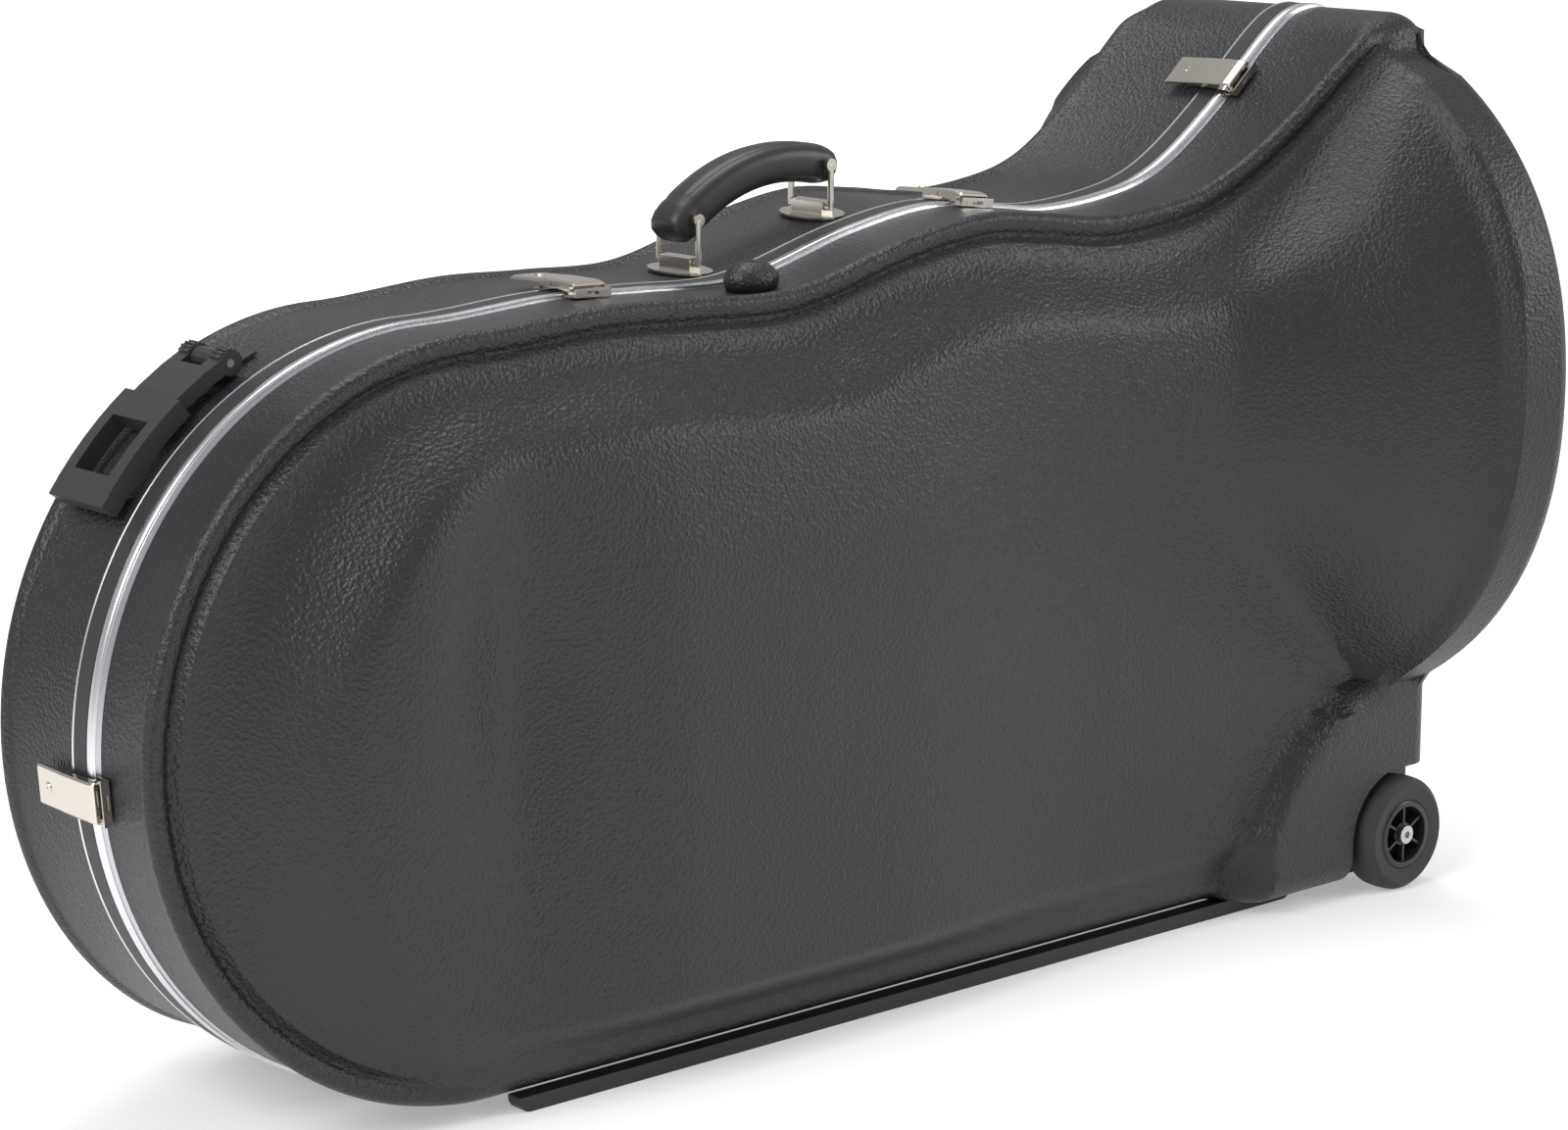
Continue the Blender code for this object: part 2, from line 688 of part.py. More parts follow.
def build_wheel(side, word):
    frame = wheel_frame(side)
    outer, inner = WHEEL_FACE, WHEEL_FACE - WHEEL_WIDTH
    seat = HUB_RADIUS + 0.0003
    tread = (
        (seat, inner + 0.002),
        (WHEEL_RADIUS - 0.006, inner),
        (WHEEL_RADIUS - 0.001, inner + 0.005),
        (WHEEL_RADIUS, inner + 0.010),
        (WHEEL_RADIUS, outer - 0.010),
        (WHEEL_RADIUS - 0.001, outer - 0.005),
        (WHEEL_RADIUS - 0.006, outer),
        (seat, outer - 0.002),
    )
    dress(lathe(word + "_tyre", tread, frame, 24), RUBBER, 0.75)
    boss, bore, web = 0.0085, AXLE_RADIUS + CLEARANCE, 0.0045
    middle = (outer + inner) / 2
    hub_profile = (
        (bore, inner + 0.0015),
        (boss, inner + 0.0015),
        (boss, middle - web / 2),
        (HUB_RECESS_RADIUS, middle - web / 2),
        (HUB_RECESS_RADIUS + 0.001, inner + 0.002),
        (HUB_RADIUS, inner + 0.002),
        (HUB_RADIUS, outer - 0.002),
        (HUB_RADIUS - 0.0015, outer - 0.001),
        (HUB_RECESS_RADIUS + 0.001, outer - 0.001),
        (HUB_RECESS_RADIUS, middle + web / 2),
        (boss, middle + web / 2),
        (boss, outer - 0.004),
        (bore, outer - 0.004),
    )
    hub = lathe(word + "_hub", hub_profile, frame, 18)
    for i in range(HUB_RIBS):
        spoke = frame @ Matrix.Rotation(2 * math.pi * i / HUB_RIBS, 4, "X")
        outline = ((-0.0009, 0.007), (0.0009, 0.007), (0.0009, 0.0195), (-0.0009, 0.0195))
        rib = helper(prism(f"{word}_rib_{i}", outline, middle - 0.0005, outer - 0.0035, spoke))
        boolean(hub, rib, "UNION")
    dress(hub, BLACK_PLASTIC, 0.4)
    floor = WELL_FLOOR - SHELL_WALL
    bolt = (
        (0.0, floor - 0.009),
        (AXLE_RADIUS + 0.003, floor - 0.009),
        (AXLE_RADIUS + 0.003, floor - 0.001),
        (AXLE_RADIUS, floor - 0.001),
        (AXLE_RADIUS, outer - 0.0035),
        (AXLE_RADIUS + 0.0025, outer - 0.0035),
        (AXLE_RADIUS + 0.0025, outer - 0.0005),
        (0.0025, outer - 0.0002),
        (0.0025, outer - 0.0025),
        (0.0, outer - 0.0025),
    )
    dress(lathe(word + "_axle", bolt, frame, 12), STEEL, 0.3, 1.0)


def build_runner(side, word):
    """A skid rail under one shell, with both ends rounded up."""
    low, high = BOW_LEFT + RUNNER_START, END_X - RUNNER_END_GAP
    top, nose = CASE_BOTTOM - CLEARANCE, 0.0075
    outline = [(low, top)]
    for i in range(5):
        turn = math.radians(180 + 90 * i / 4)
        outline.append((low + nose + nose * math.cos(turn), nose + nose * math.sin(turn)))
    for i in range(5):
        turn = math.radians(270 + 90 * i / 4)
        outline.append((high - nose + nose * math.cos(turn), nose + nose * math.sin(turn)))
    outline.append((high, top))
    turned = Matrix(((0, 1, 0, 0), (side, 0, 0, 0), (0, 0, 1, 0), (0, 0, 0, 1)))
    rail = prism(word + "_runner", outline, RUNNER_REACH - RUNNER_WIDTH, RUNNER_REACH, turned)
    dress(rail, BLACK_PLASTIC, 0.5)


def build_hinge(number, x):
    """Two leaves under the shells, their knuckles on one pin along X under the parting."""
    axis = Matrix.Translation((x, SEAM_Y, HINGE_AXIS_Z))
    half, gap = HINGE_LENGTH / 2, 0.0004
    leaf_top = CASE_BOTTOM - VALANCE_PROUD - CLEARANCE - HINGE_AXIS_Z
    third = HINGE_LENGTH / 6
    spans = {FRONT: ((-third, third),), REAR: ((-half, -third - gap), (third + gap, half))}
    reach = {FRONT: 0.024, REAR: 0.038}
    for side, word in ((FRONT, "front"), (REAR, "rear")):
        name = f"hinge_{number}_{word}_leaf"
        start = HINGE_KNUCKLE_RADIUS + 0.0006
        plate_outline = [
            (side * start, leaf_top - HINGE_LEAF),
            (side * reach[side], leaf_top - HINGE_LEAF),
            (side * reach[side], leaf_top),
            (side * start, leaf_top),
        ]
        leaf = prism(name, plate_outline, -half, half, axis)
        for k, (low, high) in enumerate(spans[side]):
            barrel = helper(rod(f"{name}_barrel_{k}", HINGE_KNUCKLE_RADIUS, low, high, axis, 10))
            bridge_outline = [
                (0.0, 0.0014),
                (side * (start + 0.002), leaf_top - HINGE_LEAF + 0.0002),
                (side * (start + 0.002), leaf_top - 0.0002),
                (0.0, HINGE_KNUCKLE_RADIUS - 0.0002),
            ]
            bridge = helper(prism(f"{name}_bridge_{k}", bridge_outline, low + 0.0001, high - 0.0001, axis))
            boolean(leaf, bridge, "UNION")
            boolean(leaf, barrel, "UNION")
        eye = helper(rod(f"{name}_eye", HINGE_PIN_RADIUS + 0.0003, -half - 0.01, half + 0.01, axis, 8))
        boolean(leaf, eye, "DIFFERENCE")
        dress(leaf, NICKEL, 0.25, 1.0)
    pin = rod(f"hinge_{number}_pin", HINGE_PIN_RADIUS, -half - 0.0008, half + 0.0008, axis, 8)
    dress(pin, STEEL, 0.25, 1.0)


def rim_frame(x=None, z=None):
    """A frame on the rim: X along it, Y to the rear from the parting plane, Z outwards."""
    if z is not None:
        angle = math.asin((z - BOW_Z) / BOW_RADIUS)
        outwards = Vector((-math.cos(angle), 0, math.sin(angle)))
        place = Vector((BOW_X, SEAM_Y, BOW_Z)) + outwards * BOW_RADIUS
    else:
        step = 0.002
        slope = (top_height(x + step) - top_height(x - step)) / (2 * step)
        outwards = Vector((-slope, 0, 1)).normalized()
        place = Vector((x, SEAM_Y, top_height(x)))
    rearwards = Vector((0, 1, 0))
    tangent = rearwards.cross(outwards)
    columns = Matrix((tangent, rearwards, outwards)).transposed().to_4x4()
    return Matrix.Translation(place) @ columns


def build_latch(number, frame):
    """A draw latch: base with its pin on the lid, lever over the parting, claw, and strike behind."""
    name = f"latch_{number}"
    half = LATCH_WIDTH / 2
    sheet, top = LATCH_SHEET, LATCH_HEIGHT
    foot = 0.0007
    pivot_y, pivot_z = LATCH_PIVOT
    front = -LATCH_FRONT
    lip = VALANCE_PROUD + 0.0005
    pivot = frame @ Matrix.Translation((0, pivot_y, pivot_z))

    cheek = half - 0.0030
    floor_and_front_wall = (
        (front, foot),
        (-0.0040, foot),
        (-0.0040, foot + sheet),
        (front + sheet, foot + sheet),
        (front + sheet, 0.0060),
        (front, 0.0060),
    )
    base = prism(name + "_base", floor_and_front_wall, -half, half, frame)
    for word, edge in (("left", -1), ("right", 1)):
        low, high = sorted((edge * cheek, edge * (cheek - sheet)))
        side_wall = (
            (pivot_y - 0.0022, foot + 0.0002),
            (pivot_y + 0.0033, foot + 0.0002),
            (pivot_y + 0.0033, pivot_z),
            (pivot_y + 0.0018, pivot_z + 0.0018),
            (pivot_y - 0.0010, pivot_z + 0.0020),
            (pivot_y - 0.0022, pivot_z + 0.0010),
        )
        boolean(base, helper(prism(f"{name}_cheek_{word}", side_wall, low, high, frame)), "UNION")
    pin = helper(rod(name + "_pin", LATCH_PIN_RADIUS, -half + 0.0006, half - 0.0006, pivot, 10))
    boolean(base, pin, "UNION")
    window = [(front + y, z) for y, z in ((-0.002, 0.0022), (0.004, 0.0022), (0.004, 0.0042), (-0.002, 0.0042))]
    boolean(base, helper(prism(name + "_window", window, -0.0045, 0.0045, frame)), "DIFFERENCE")
    dress(base, NICKEL, 0.2, 1.0)

    # Lever: a domed channel near the pin, flat behind its crease
    outer = cheek + 0.0004 + sheet
    rows = (
        (-0.0108, 0.0066, 0.0082),
        (-0.0098, 0.0034, 0.0089),
        (-0.0050, 0.0034, top),
        (0.0060, 0.0046, top),
        (0.0230, 0.0056, top - 0.0003),
        (0.0245, 0.0062, top - 0.0006),
        (LATCH_BACK - 0.0020, 0.0054, top - 0.0016),
        (LATCH_BACK, 0.0048, top - 0.0026),
    )
    sections = []
    for y, low, high in rows:
        half_here = min(outer, half)
        inside = half_here - sheet
        corners = (
            (-half_here, low),
            (-half_here, high - 0.0010),
            (-half_here + 0.0012, high),
            (half_here - 0.0012, high),
            (half_here, high - 0.0010),
            (half_here, low),
            (inside, low),
            (inside, high - sheet - 0.0002),
            (-inside, high - sheet - 0.0002),
            (-inside, low),
        )
        sections.append([frame @ Vector((x, y, z)) for x, z in corners])
    lever = loft(name + "_lever", sections)
    eye = helper(rod(name + "_lever_eye", LATCH_PIN_RADIUS + 0.0003, -half - 0.01, half + 0.01, pivot, 8))
    boolean(lever, eye, "DIFFERENCE")
    claw_y, claw_z = CLAW_PIVOT
    claw_pivot = frame @ Matrix.Translation((0, claw_y, claw_z))
    claw_eye = helper(rod(name + "_claw_eye", 0.0013, -half - 0.01, half + 0.01, claw_pivot, 8))
    boolean(lever, claw_eye, "DIFFERENCE")
    dress(lever, NICKEL, 0.15, 1.0)

    # Claw: a flat hook hanging from the lever, over the strike's lip
    inside = min(outer, half) - sheet
    hook = (
        (claw_y - 0.0012, claw_z - 0.0012),
        (claw_y + 0.0130, lip + 0.0022),
        (claw_y + 0.0195, lip + 0.0022),
        (claw_y + 0.0195, lip - 0.0004),
        (claw_y + 0.0207, lip - 0.0004),
        (claw_y + 0.0207, lip + 0.0032),
        (claw_y + 0.0130, lip + 0.0032),
        (claw_y, claw_z + 0.0010),
        (claw_y - 0.0012, claw_z + 0.0010),
    )
    claw = prism(name + "_claw", hook, -0.0060, 0.0060, frame)
    reach = inside + sheet - 0.0003
    trunnion = helper(rod(name + "_trunnion", 0.0010, -reach, reach, claw_pivot, 8))
    boolean(claw, trunnion, "UNION")
    dress(claw, NICKEL, 0.25, 1.0)

    # Strike: a foot on the rear shell with a raised lip
    back = REAR_FLANGE_WIDTH
    strike_outline = (
        (back + 0.0006, foot),
        (back + 0.0130, foot),
        (back + 0.0130, foot + sheet),
        (claw_y + 0.0186, foot + sheet),
        (claw_y + 0.0186, lip + 0.0018),
        (claw_y + 0.0166, lip + 0.0018),
        (claw_y + 0.0166, foot + sheet),
        (back + 0.0006, foot + sheet),
    )
    dress(prism(name + "_strike", strike_outline, -0.0075, 0.0075, frame), NICKEL, 0.25, 1.0)


def handle_line():
    """Stirrup feet and eyes as (x, z), left then right."""
    middle = BOW_LEFT + HANDLE_STATION
    slope = (top_height(middle + 0.056) - top_height(middle - 0.056)) / 0.112
    reach = HANDLE_REACH / 2 / math.hypot(1, slope)
    feet = []
    for sign in (-1, 1):
        x = middle + sign * reach
        feet.append((x, top_height(x) + HANDLE_FOOT))
    return feet


def build_carry_handle():
    feet = handle_line()
    near, far = HANDLE_CENTRE_Y - HANDLE_SPREAD / 2, HANDLE_CENTRE_Y + HANDLE_SPREAD / 2
    eyes = [(x, z + ROD_LENGTH) for x, z in feet]
    for word, (x, z), (ex, ez) in (("left", feet[0], eyes[0]), ("right", feet[1], eyes[1])):
        slope = (top_height(x + 0.004) - top_height(x - 0.004)) / 0.008
        tilt = Matrix.Rotation(-math.atan(slope), 4, "Y")
        frame = Matrix.Translation((x, HANDLE_CENTRE_Y, z)) @ tilt
        plate = []
        for i in range(16):
            turn = 2 * math.pi * i / 16
            plate.append((PLATE_WIDTH / 2 * math.cos(turn), PLATE_LENGTH / 2 * math.sin(turn)))
        low, high = -0.0056, -0.0044
        sections = [[frame @ Vector((px, py, level)) for px, py in plate] for level in (low, high)]
        base = loft(f"handle_plate_{word}", sections)
        outline = ((-0.0045, high - 0.0004), (0.0045, high - 0.0004), (0.0036, 0.0036), (-0.0036, 0.0036))
        across = frame @ Matrix.Rotation(math.radians(90), 4, "Z")
        saddle = helper(prism(f"saddle_{word}", outline, -0.0145, 0.0145, across))
        boolean(base, saddle, "UNION")
        bar_room = helper(rod(f"saddle_bore_{word}", ROD_RADIUS + 0.0003, -0.04, 0.04, across))
        boolean(base, bar_room, "DIFFERENCE")
        dress(base, NICKEL, 0.2, 1.0)
        upright = Matrix(((0, 0, -1, x), (0, 1, 0, 0), (1, 0, 0, z), (0, 0, 0, 1)))
        crosswise = Matrix(((0, -1, 0, x), (1, 0, 0, 0), (0, 0, 1, z), (0, 0, 0, 1)))
        stirrup = rod(f"handle_stirrup_{word}", ROD_RADIUS, near, far, crosswise)
        for side_word, y, turn in (("near", near, -1), ("far", far, 1)):
            post_frame = Matrix.Translation((0, y, 0)) @ upright
            post = helper(rod(f"{side_word}_rod_{word}", ROD_RADIUS, -0.0012, ez - z, post_frame))
            boolean(stirrup, post, "UNION")
            eye_frame = Matrix.Translation((ex - x, 0, ez - z)) @ crosswise
            eye = helper(rod(f"{side_word}_eye_{word}", 0.0042, y - 0.0011, y + 0.0011, eye_frame, 10))
            boolean(stirrup, eye, "UNION")
            inner_end, outer_end = sorted((y, y - turn * 0.0060))
            rivet = helper(rod(f"{side_word}_rivet_{word}", 0.0016, inner_end, outer_end, eye_frame, 8))
            boolean(stirrup, rivet, "UNION")
        dress(stirrup, NICKEL, 0.2, 1.0)

    # Grip: an arched loft between the eyes
    left, right = Vector((eyes[0][0], eyes[0][1])), Vector((eyes[1][0], eyes[1][1]))
    span = right - left
    run = span.normalized()
    up = Vector((-run.y, run.x))
    sections = []
    for i in range(11):
        share = i / 10
        at = mix(-0.012, span.length + 0.010, share)
        bend = (at - span.length / 2) / (span.length / 2)
        centre = left + run * at + up * (GRIP_RISE * (1 - bend * bend) - 0.0005)
        lean = math.atan2(-2 * GRIP_RISE * bend, span.length / 2)
        local = run * math.cos(lean) + up * math.sin(lean)
        normal = Vector((-local.y, local.x))
        end = 1 - 0.45 * (1 - ease(0.0, 0.09, share)) - 0.45 * ease(0.91, 1.0, share)
        section = []
        for k in range(12):
            turn = 2 * math.pi * k / 12
            c, s = math.cos(turn), math.sin(turn)
            wide = GRIP_WIDTH / 2 * math.copysign(abs(c) ** 0.7, c) * mix(1, end, 0.4)
            tall = GRIP_HEIGHT / 2 * math.copysign(abs(s) ** 0.7, s) * end
            point = centre + normal * tall
            section.append((point.x, HANDLE_CENTRE_Y + wide, point.y))
        sections.append(section)
    grip = loft("handle_grip", sections)
    for k, (ex, ez) in enumerate(eyes):
        crosswise = Matrix(((0, -1, 0, ex), (1, 0, 0, HANDLE_CENTRE_Y), (0, 0, 1, ez), (0, 0, 0, 1)))
        bore = helper(rod(f"grip_bore_{k}", 0.0019, -0.03, 0.03, crosswise, 10))
        boolean(grip, bore, "DIFFERENCE")
    dress(grip, BLACK_PLASTIC, 0.5, angle=50)


def bow_point(angle, standoff):
    """A point round the bow, that far outside the shell, as (x, z)."""
    turn = math.radians(angle)
    radius = BOW_RADIUS + standoff
    return BOW_X + radius * math.cos(turn), BOW_Z + radius * math.sin(turn)


def bow_strip(name, start, stop, low, high, inner, outer, steps):
    """A curved block round the bow, between two angles and two heights off the shell."""
    sections = []
    for i in range(steps + 1):
        angle = mix(start, stop, i / steps)
        (x0, z0), (x1, z1) = bow_point(angle, inner), bow_point(angle, outer)
        sections.append([(x0, low, z0), (x0, high, z0), (x1, high, z1), (x1, low, z1)])
    return loft(name, sections)


def build_tow_handle():
    low, high = TOW_CENTRE_Y - TOW_WIDTH / 2, TOW_CENTRE_Y + TOW_WIDTH / 2
    hinge_x, hinge_z = bow_point(TOW_ANGLE, TOW_STANDOFF - 0.001)
    axis = Matrix(((0, -1, 0, hinge_x), (1, 0, 0, 0), (0, 0, 1, hinge_z), (0, 0, 0, 1)))
    inner, outer = TOW_STANDOFF - 0.0045, TOW_STANDOFF + 0.0045
    tip = TOW_ANGLE + TOW_SWEEP
    neck = TOW_ANGLE + 10
    narrow = 0.006
    arm = bow_strip("tow_arm", TOW_ANGLE, neck + 3, low + narrow, high - narrow, inner, outer, 3)
    loop = helper(bow_strip("tow_loop", neck, tip, low, high, inner - 0.0008, outer + 0.0016, 6))
    boolean(arm, loop, "UNION")
    ends = low + narrow + 0.0001, high - narrow - 0.0001
    knuckle = helper(rod("tow_knuckle", TOW_KNUCKLE_RADIUS, *ends, axis, 12))
    boolean(arm, knuckle, "UNION")
    sides = low + 0.010, high - 0.010
    window = helper(bow_strip("tow_window", neck + 4.5, tip - 4.5, *sides, -0.001, 0.03, 5))
    boolean(arm, window, "DIFFERENCE")
    lug_half = 0.0100
    near, far = TOW_CENTRE_Y - lug_half, TOW_CENTRE_Y + lug_half
    room_radius = TOW_KNUCKLE_RADIUS + 0.006
    room = helper(rod("tow_room", room_radius, near - 0.0004, far + 0.0004, axis, 12))
    boolean(arm, room, "DIFFERENCE")
    bore = helper(rod("tow_bore", TOW_PIN_RADIUS + 0.0003, low - 0.01, high + 0.01, axis, 12))
    boolean(arm, bore, "DIFFERENCE")
    dress(arm, BLACK_PLASTIC, 0.45)

    bracket = bow_strip("tow_bracket", TOW_ANGLE - 6, TOW_ANGLE + 2.4, near, far, 0.0005, 0.0022, 3)
    lug = helper(rod("tow_lug", TOW_KNUCKLE_RADIUS - 0.0010, near + 0.0001, far - 0.0001, axis, 12))
    sides = near + 0.0002, far - 0.0002
    post = helper(bow_strip("tow_post", TOW_ANGLE - 1.3, TOW_ANGLE + 1.3, *sides, 0.0012, TOW_STANDOFF, 1))
    boolean(bracket, post, "UNION")
    boolean(bracket, lug, "UNION")
    boolean(bracket, bore, "DIFFERENCE")
    dress(bracket, BLACK_PLASTIC, 0.5)
    pin = rod("tow_pin", TOW_PIN_RADIUS, low + narrow + 0.0006, high - narrow - 0.0006, axis, 12)
    dress(pin, STEEL, 0.3, 1.0)


def build_cradles():
    """Foam blocks standing in the base, just inside its lining."""
    seat = SHELL_WALL + LINING_GAP + LINING_WALL + 0.0095
    shallow, deep = SEAM_Y + 0.016, SEAM_Y + 0.078
    sections = []
    for i in range(9):
        turn = math.radians(mix(125, 235, i / 8))
        c, s = math.cos(turn), math.sin(turn)
        thick = 0.040 + 0.012 * math.cos(math.radians(mix(-90, 90, i / 8)))
        outer, inner = BOW_RADIUS - seat, BOW_RADIUS - seat - thick
        section = []
        for radius, y in ((outer, shallow), (outer, deep), (inner, deep), (inner, shallow)):
            section.append((BOW_X + radius * c, y, BOW_Z + radius * s))
        sections.append(section)
    dress(loft("bow_cradle", sections), FOAM, 0.95)

    floor = CASE_BOTTOM + seat
    left, right = END_X - 0.330, END_X - 0.150
    middle, hollow = (left + right) / 2, 0.150
    outline = [(left, floor), (right, floor), (right, floor + 0.075)]
    for i in range(9):
        share = mix(0.075, -0.075, i / 8)
        outline.append((middle + share, floor + 0.030 + hollow - math.sqrt(hollow**2 - share**2)))
    outline.append((left, floor + 0.075))
    turned = Matrix(((0, 1, 0, 0), (1, 0, 0, 0), (0, 0, 1, 0), (0, 0, 0, 1)))
    dress(prism("bell_cradle", outline, shallow, deep, turned), FOAM, 0.95)


def hang(name, place):
    """Moves a piece's origin to a point on its joint axis; its faces stay where they are."""
    made = bpy.data.objects[name]
    local = made.matrix_world.inverted() @ Vector(place)
    made.data.transform(Matrix.Translation(-local))
    made.matrix_world = made.matrix_world @ Matrix.Translation(local)


def hang_moving_pieces(latch_frames):
    bpy.context.view_layer.update()
    lid_axis = (0, SEAM_Y, HINGE_AXIS_Z)
    lid = ["front_shell", "front_valance", "front_lining", "front_runner", "front_axle"]
    lid += [f"hinge_{number}_front_leaf" for number in (1, 2, 3)]
    lid += [f"latch_{number}_base" for number in (1, 2, 3, 4)]
    for name in lid:
        hang(name, lid_axis)
    for number, frame in enumerate(latch_frames, 1):
        hang(f"latch_{number}_lever", frame @ Vector((0, *LATCH_PIVOT)))
        hang(f"latch_{number}_claw", frame @ Vector((0, *CLAW_PIVOT)))
    for side, word in ((FRONT, "front"), (REAR, "rear")):
        for piece in ("tyre", "hub"):
            hang(f"{word}_{piece}", (WHEEL_X, side * WHEEL_FACE, WHEEL_Z))
    for word, (x, z) in zip(("left", "right"), handle_line()):
        hang("handle_stirrup_" + word, (x, HANDLE_CENTRE_Y, z))
    left_x, left_z = handle_line()[0]
    hang("handle_grip", (left_x, HANDLE_CENTRE_Y, left_z + ROD_LENGTH))
    tow_x, tow_z = bow_point(TOW_ANGLE, TOW_STANDOFF - 0.001)
    hang("tow_arm", (tow_x, TOW_CENTRE_Y, tow_z))


def main():
    for old in list(bpy.data.objects):
        bpy.data.objects.remove(old)
    build_shell(FRONT, "front", FRONT_VALANCE_WIDTH + CLEARANCE)
    build_shell(REAR, "rear", REAR_VALANCE_WIDTH + CLEARANCE)
    build_lining(FRONT, "front", FRONT_VALANCE_WIDTH + 0.004)
    build_lining(REAR, "rear", REAR_VALANCE_WIDTH + 0.004)
    build_valances()
    build_cradles()
    for side, word in ((FRONT, "front"), (REAR, "rear")):
        build_wheel(side, word)
        build_runner(side, word)
    for number, station in enumerate(HINGE_STATIONS, 1):
        build_hinge(number, BOW_LEFT + station)
    latch_frames = (
        rim_frame(z=BOW_Z - LATCH_DROP),
        rim_frame(x=BOW_LEFT + LATCH_STATIONS[0]),
        rim_frame(x=BOW_LEFT + LATCH_STATIONS[1]),
        rim_frame(x=END_X - LATCH_END_GAP) @ Matrix.Translation((0, 0, LATCH_END_LIFT)),
    )
    for number, frame in enumerate(latch_frames, 1):
        before = set(bpy.data.objects)
        build_latch(number, Matrix.Identity(4))
        for made in set(bpy.data.objects) - before:
            made.matrix_world = frame
    build_carry_handle()
    build_tow_handle()
    hang_moving_pieces(latch_frames)


main()
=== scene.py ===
import json
import math

import bmesh
import bpy
from mathutils import Matrix, Vector


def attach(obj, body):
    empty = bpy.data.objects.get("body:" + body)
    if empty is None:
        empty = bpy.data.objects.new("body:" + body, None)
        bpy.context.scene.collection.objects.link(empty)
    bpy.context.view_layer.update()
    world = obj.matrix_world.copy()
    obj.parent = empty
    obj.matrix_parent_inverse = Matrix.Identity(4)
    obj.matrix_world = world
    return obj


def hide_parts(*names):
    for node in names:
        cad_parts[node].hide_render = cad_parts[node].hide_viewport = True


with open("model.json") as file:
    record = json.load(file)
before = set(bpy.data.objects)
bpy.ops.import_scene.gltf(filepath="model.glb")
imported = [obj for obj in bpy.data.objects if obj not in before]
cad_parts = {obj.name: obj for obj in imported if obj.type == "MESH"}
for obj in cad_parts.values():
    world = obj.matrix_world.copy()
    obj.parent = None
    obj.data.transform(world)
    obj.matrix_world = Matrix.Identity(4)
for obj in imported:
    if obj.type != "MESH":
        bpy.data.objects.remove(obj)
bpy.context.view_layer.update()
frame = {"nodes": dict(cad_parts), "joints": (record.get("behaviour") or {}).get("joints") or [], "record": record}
nodes = frame["nodes"]
print("scene: frame loaded")

# Sizes shared with the CAD source
overall = {
    "length": 1.006,
    "bottom": 0.010,
    "bowRadius": 0.224,
    "bellTop": 0.6030,
    "bellHalfHeight": 0.243,
    "bellHalfDepth": 0.2525,
    "band": 0.050,
    "squareness": 2.2,
    "corner": 0.026,
    "seam": 0.030,
    "face": 0.122,
    "plateau": 0.014,
    "panel": 0.138,
    "panelRadius": 0.138,
    "wall": 0.0035,
    "rimInset": 0.018,
    "groove": 0.006,
    "ridge": 0.0012,
}
bowLeft = -(overall["length"] + 0.0096 + 0.006) / 2 + 0.0096
endX = bowLeft + overall["length"]
bowX = bowLeft + overall["bowRadius"]
bowZ = overall["bottom"] + overall["bowRadius"]
bowTop = bowZ + overall["bowRadius"]
bellZ = overall["bellTop"] - overall["bellHalfHeight"]
creaseX = endX - overall["band"]
seamY = -overall["seam"]
wheel = {"radius": 0.040, "width": 0.028, "x": endX + 0.006 - 0.040, "z": 0.040, "face": 0.1465}
wellRadius = wheel["radius"] + 0.007
wellFloor = wheel["face"] - wheel["width"] - 0.004
front, rear = -1, 1

topLine = (
    (bowX, bowTop),
    (bowLeft + 0.321, bowTop + 0.0055),
    (bowLeft + 0.387, bowTop + 0.0035),
    (bowLeft + 0.464, bowTop + 0.0030),
    (bowLeft + 0.553, bowTop + 0.0255),
    (bowLeft + 0.618, bowTop + 0.0355),
    (endX - 0.338, bowTop + 0.0320),
    (endX - 0.281, bowTop + 0.0260),
    (endX - 0.212, bowTop + 0.0330),
    (endX - 0.172, bowTop + 0.0470),
    (endX - 0.125, bowTop + 0.0790),
    (endX - 0.058, overall["bellTop"] - 0.0095),
    (endX - overall["corner"], overall["bellTop"]),
)
upperEdge = (
    (bowLeft, 0.057, 0.104),
    (bowLeft + 0.20, 0.057, 0.115),
    (bowLeft + 0.45, 0.059, 0.127),
    (bowLeft + 0.62, 0.063, 0.137),
    (endX - 0.170, 0.069, 0.137),
    (endX - 0.058, 0.087, 0.142),
    (endX, 0.092, 0.147),
)
lowerEdge = (
    (bowLeft, 0.057, 0.104),
    (bowLeft + 0.08, 0.063, 0.113),
    (bowLeft + 0.20, 0.077, 0.137),
    (endX, 0.077, 0.137),
)
flare = (
    (endX - 0.300, 0.110),
    (endX - 0.210, 0.136),
    (endX - 0.150, 0.172),
    (endX - 0.105, 0.207),
    (endX - 0.058, 0.232),
    (endX - 0.050, 0.246),
    (endX, overall["bellHalfDepth"]),
)


def ease(low, high, value):
    t = min(max((value - low) / (high - low), 0.0), 1.0)
    return t * t * (3 - 2 * t)


def mix(a, b, t):
    return a + (b - a) * t


def along(table, x, column=1):
    if x <= table[0][0]:
        return table[0][column]
    for low, high in zip(table, table[1:]):
        if x <= high[0]:
            return mix(low[column], high[column], (x - low[0]) / (high[0] - low[0]))
    return table[-1][column]


def slopeAt(index):
    if index in (0, len(topLine) - 1):
        return 0.0
    before, after = topLine[index - 1], topLine[index + 1]
    return (after[1] - before[1]) / (after[0] - before[0])


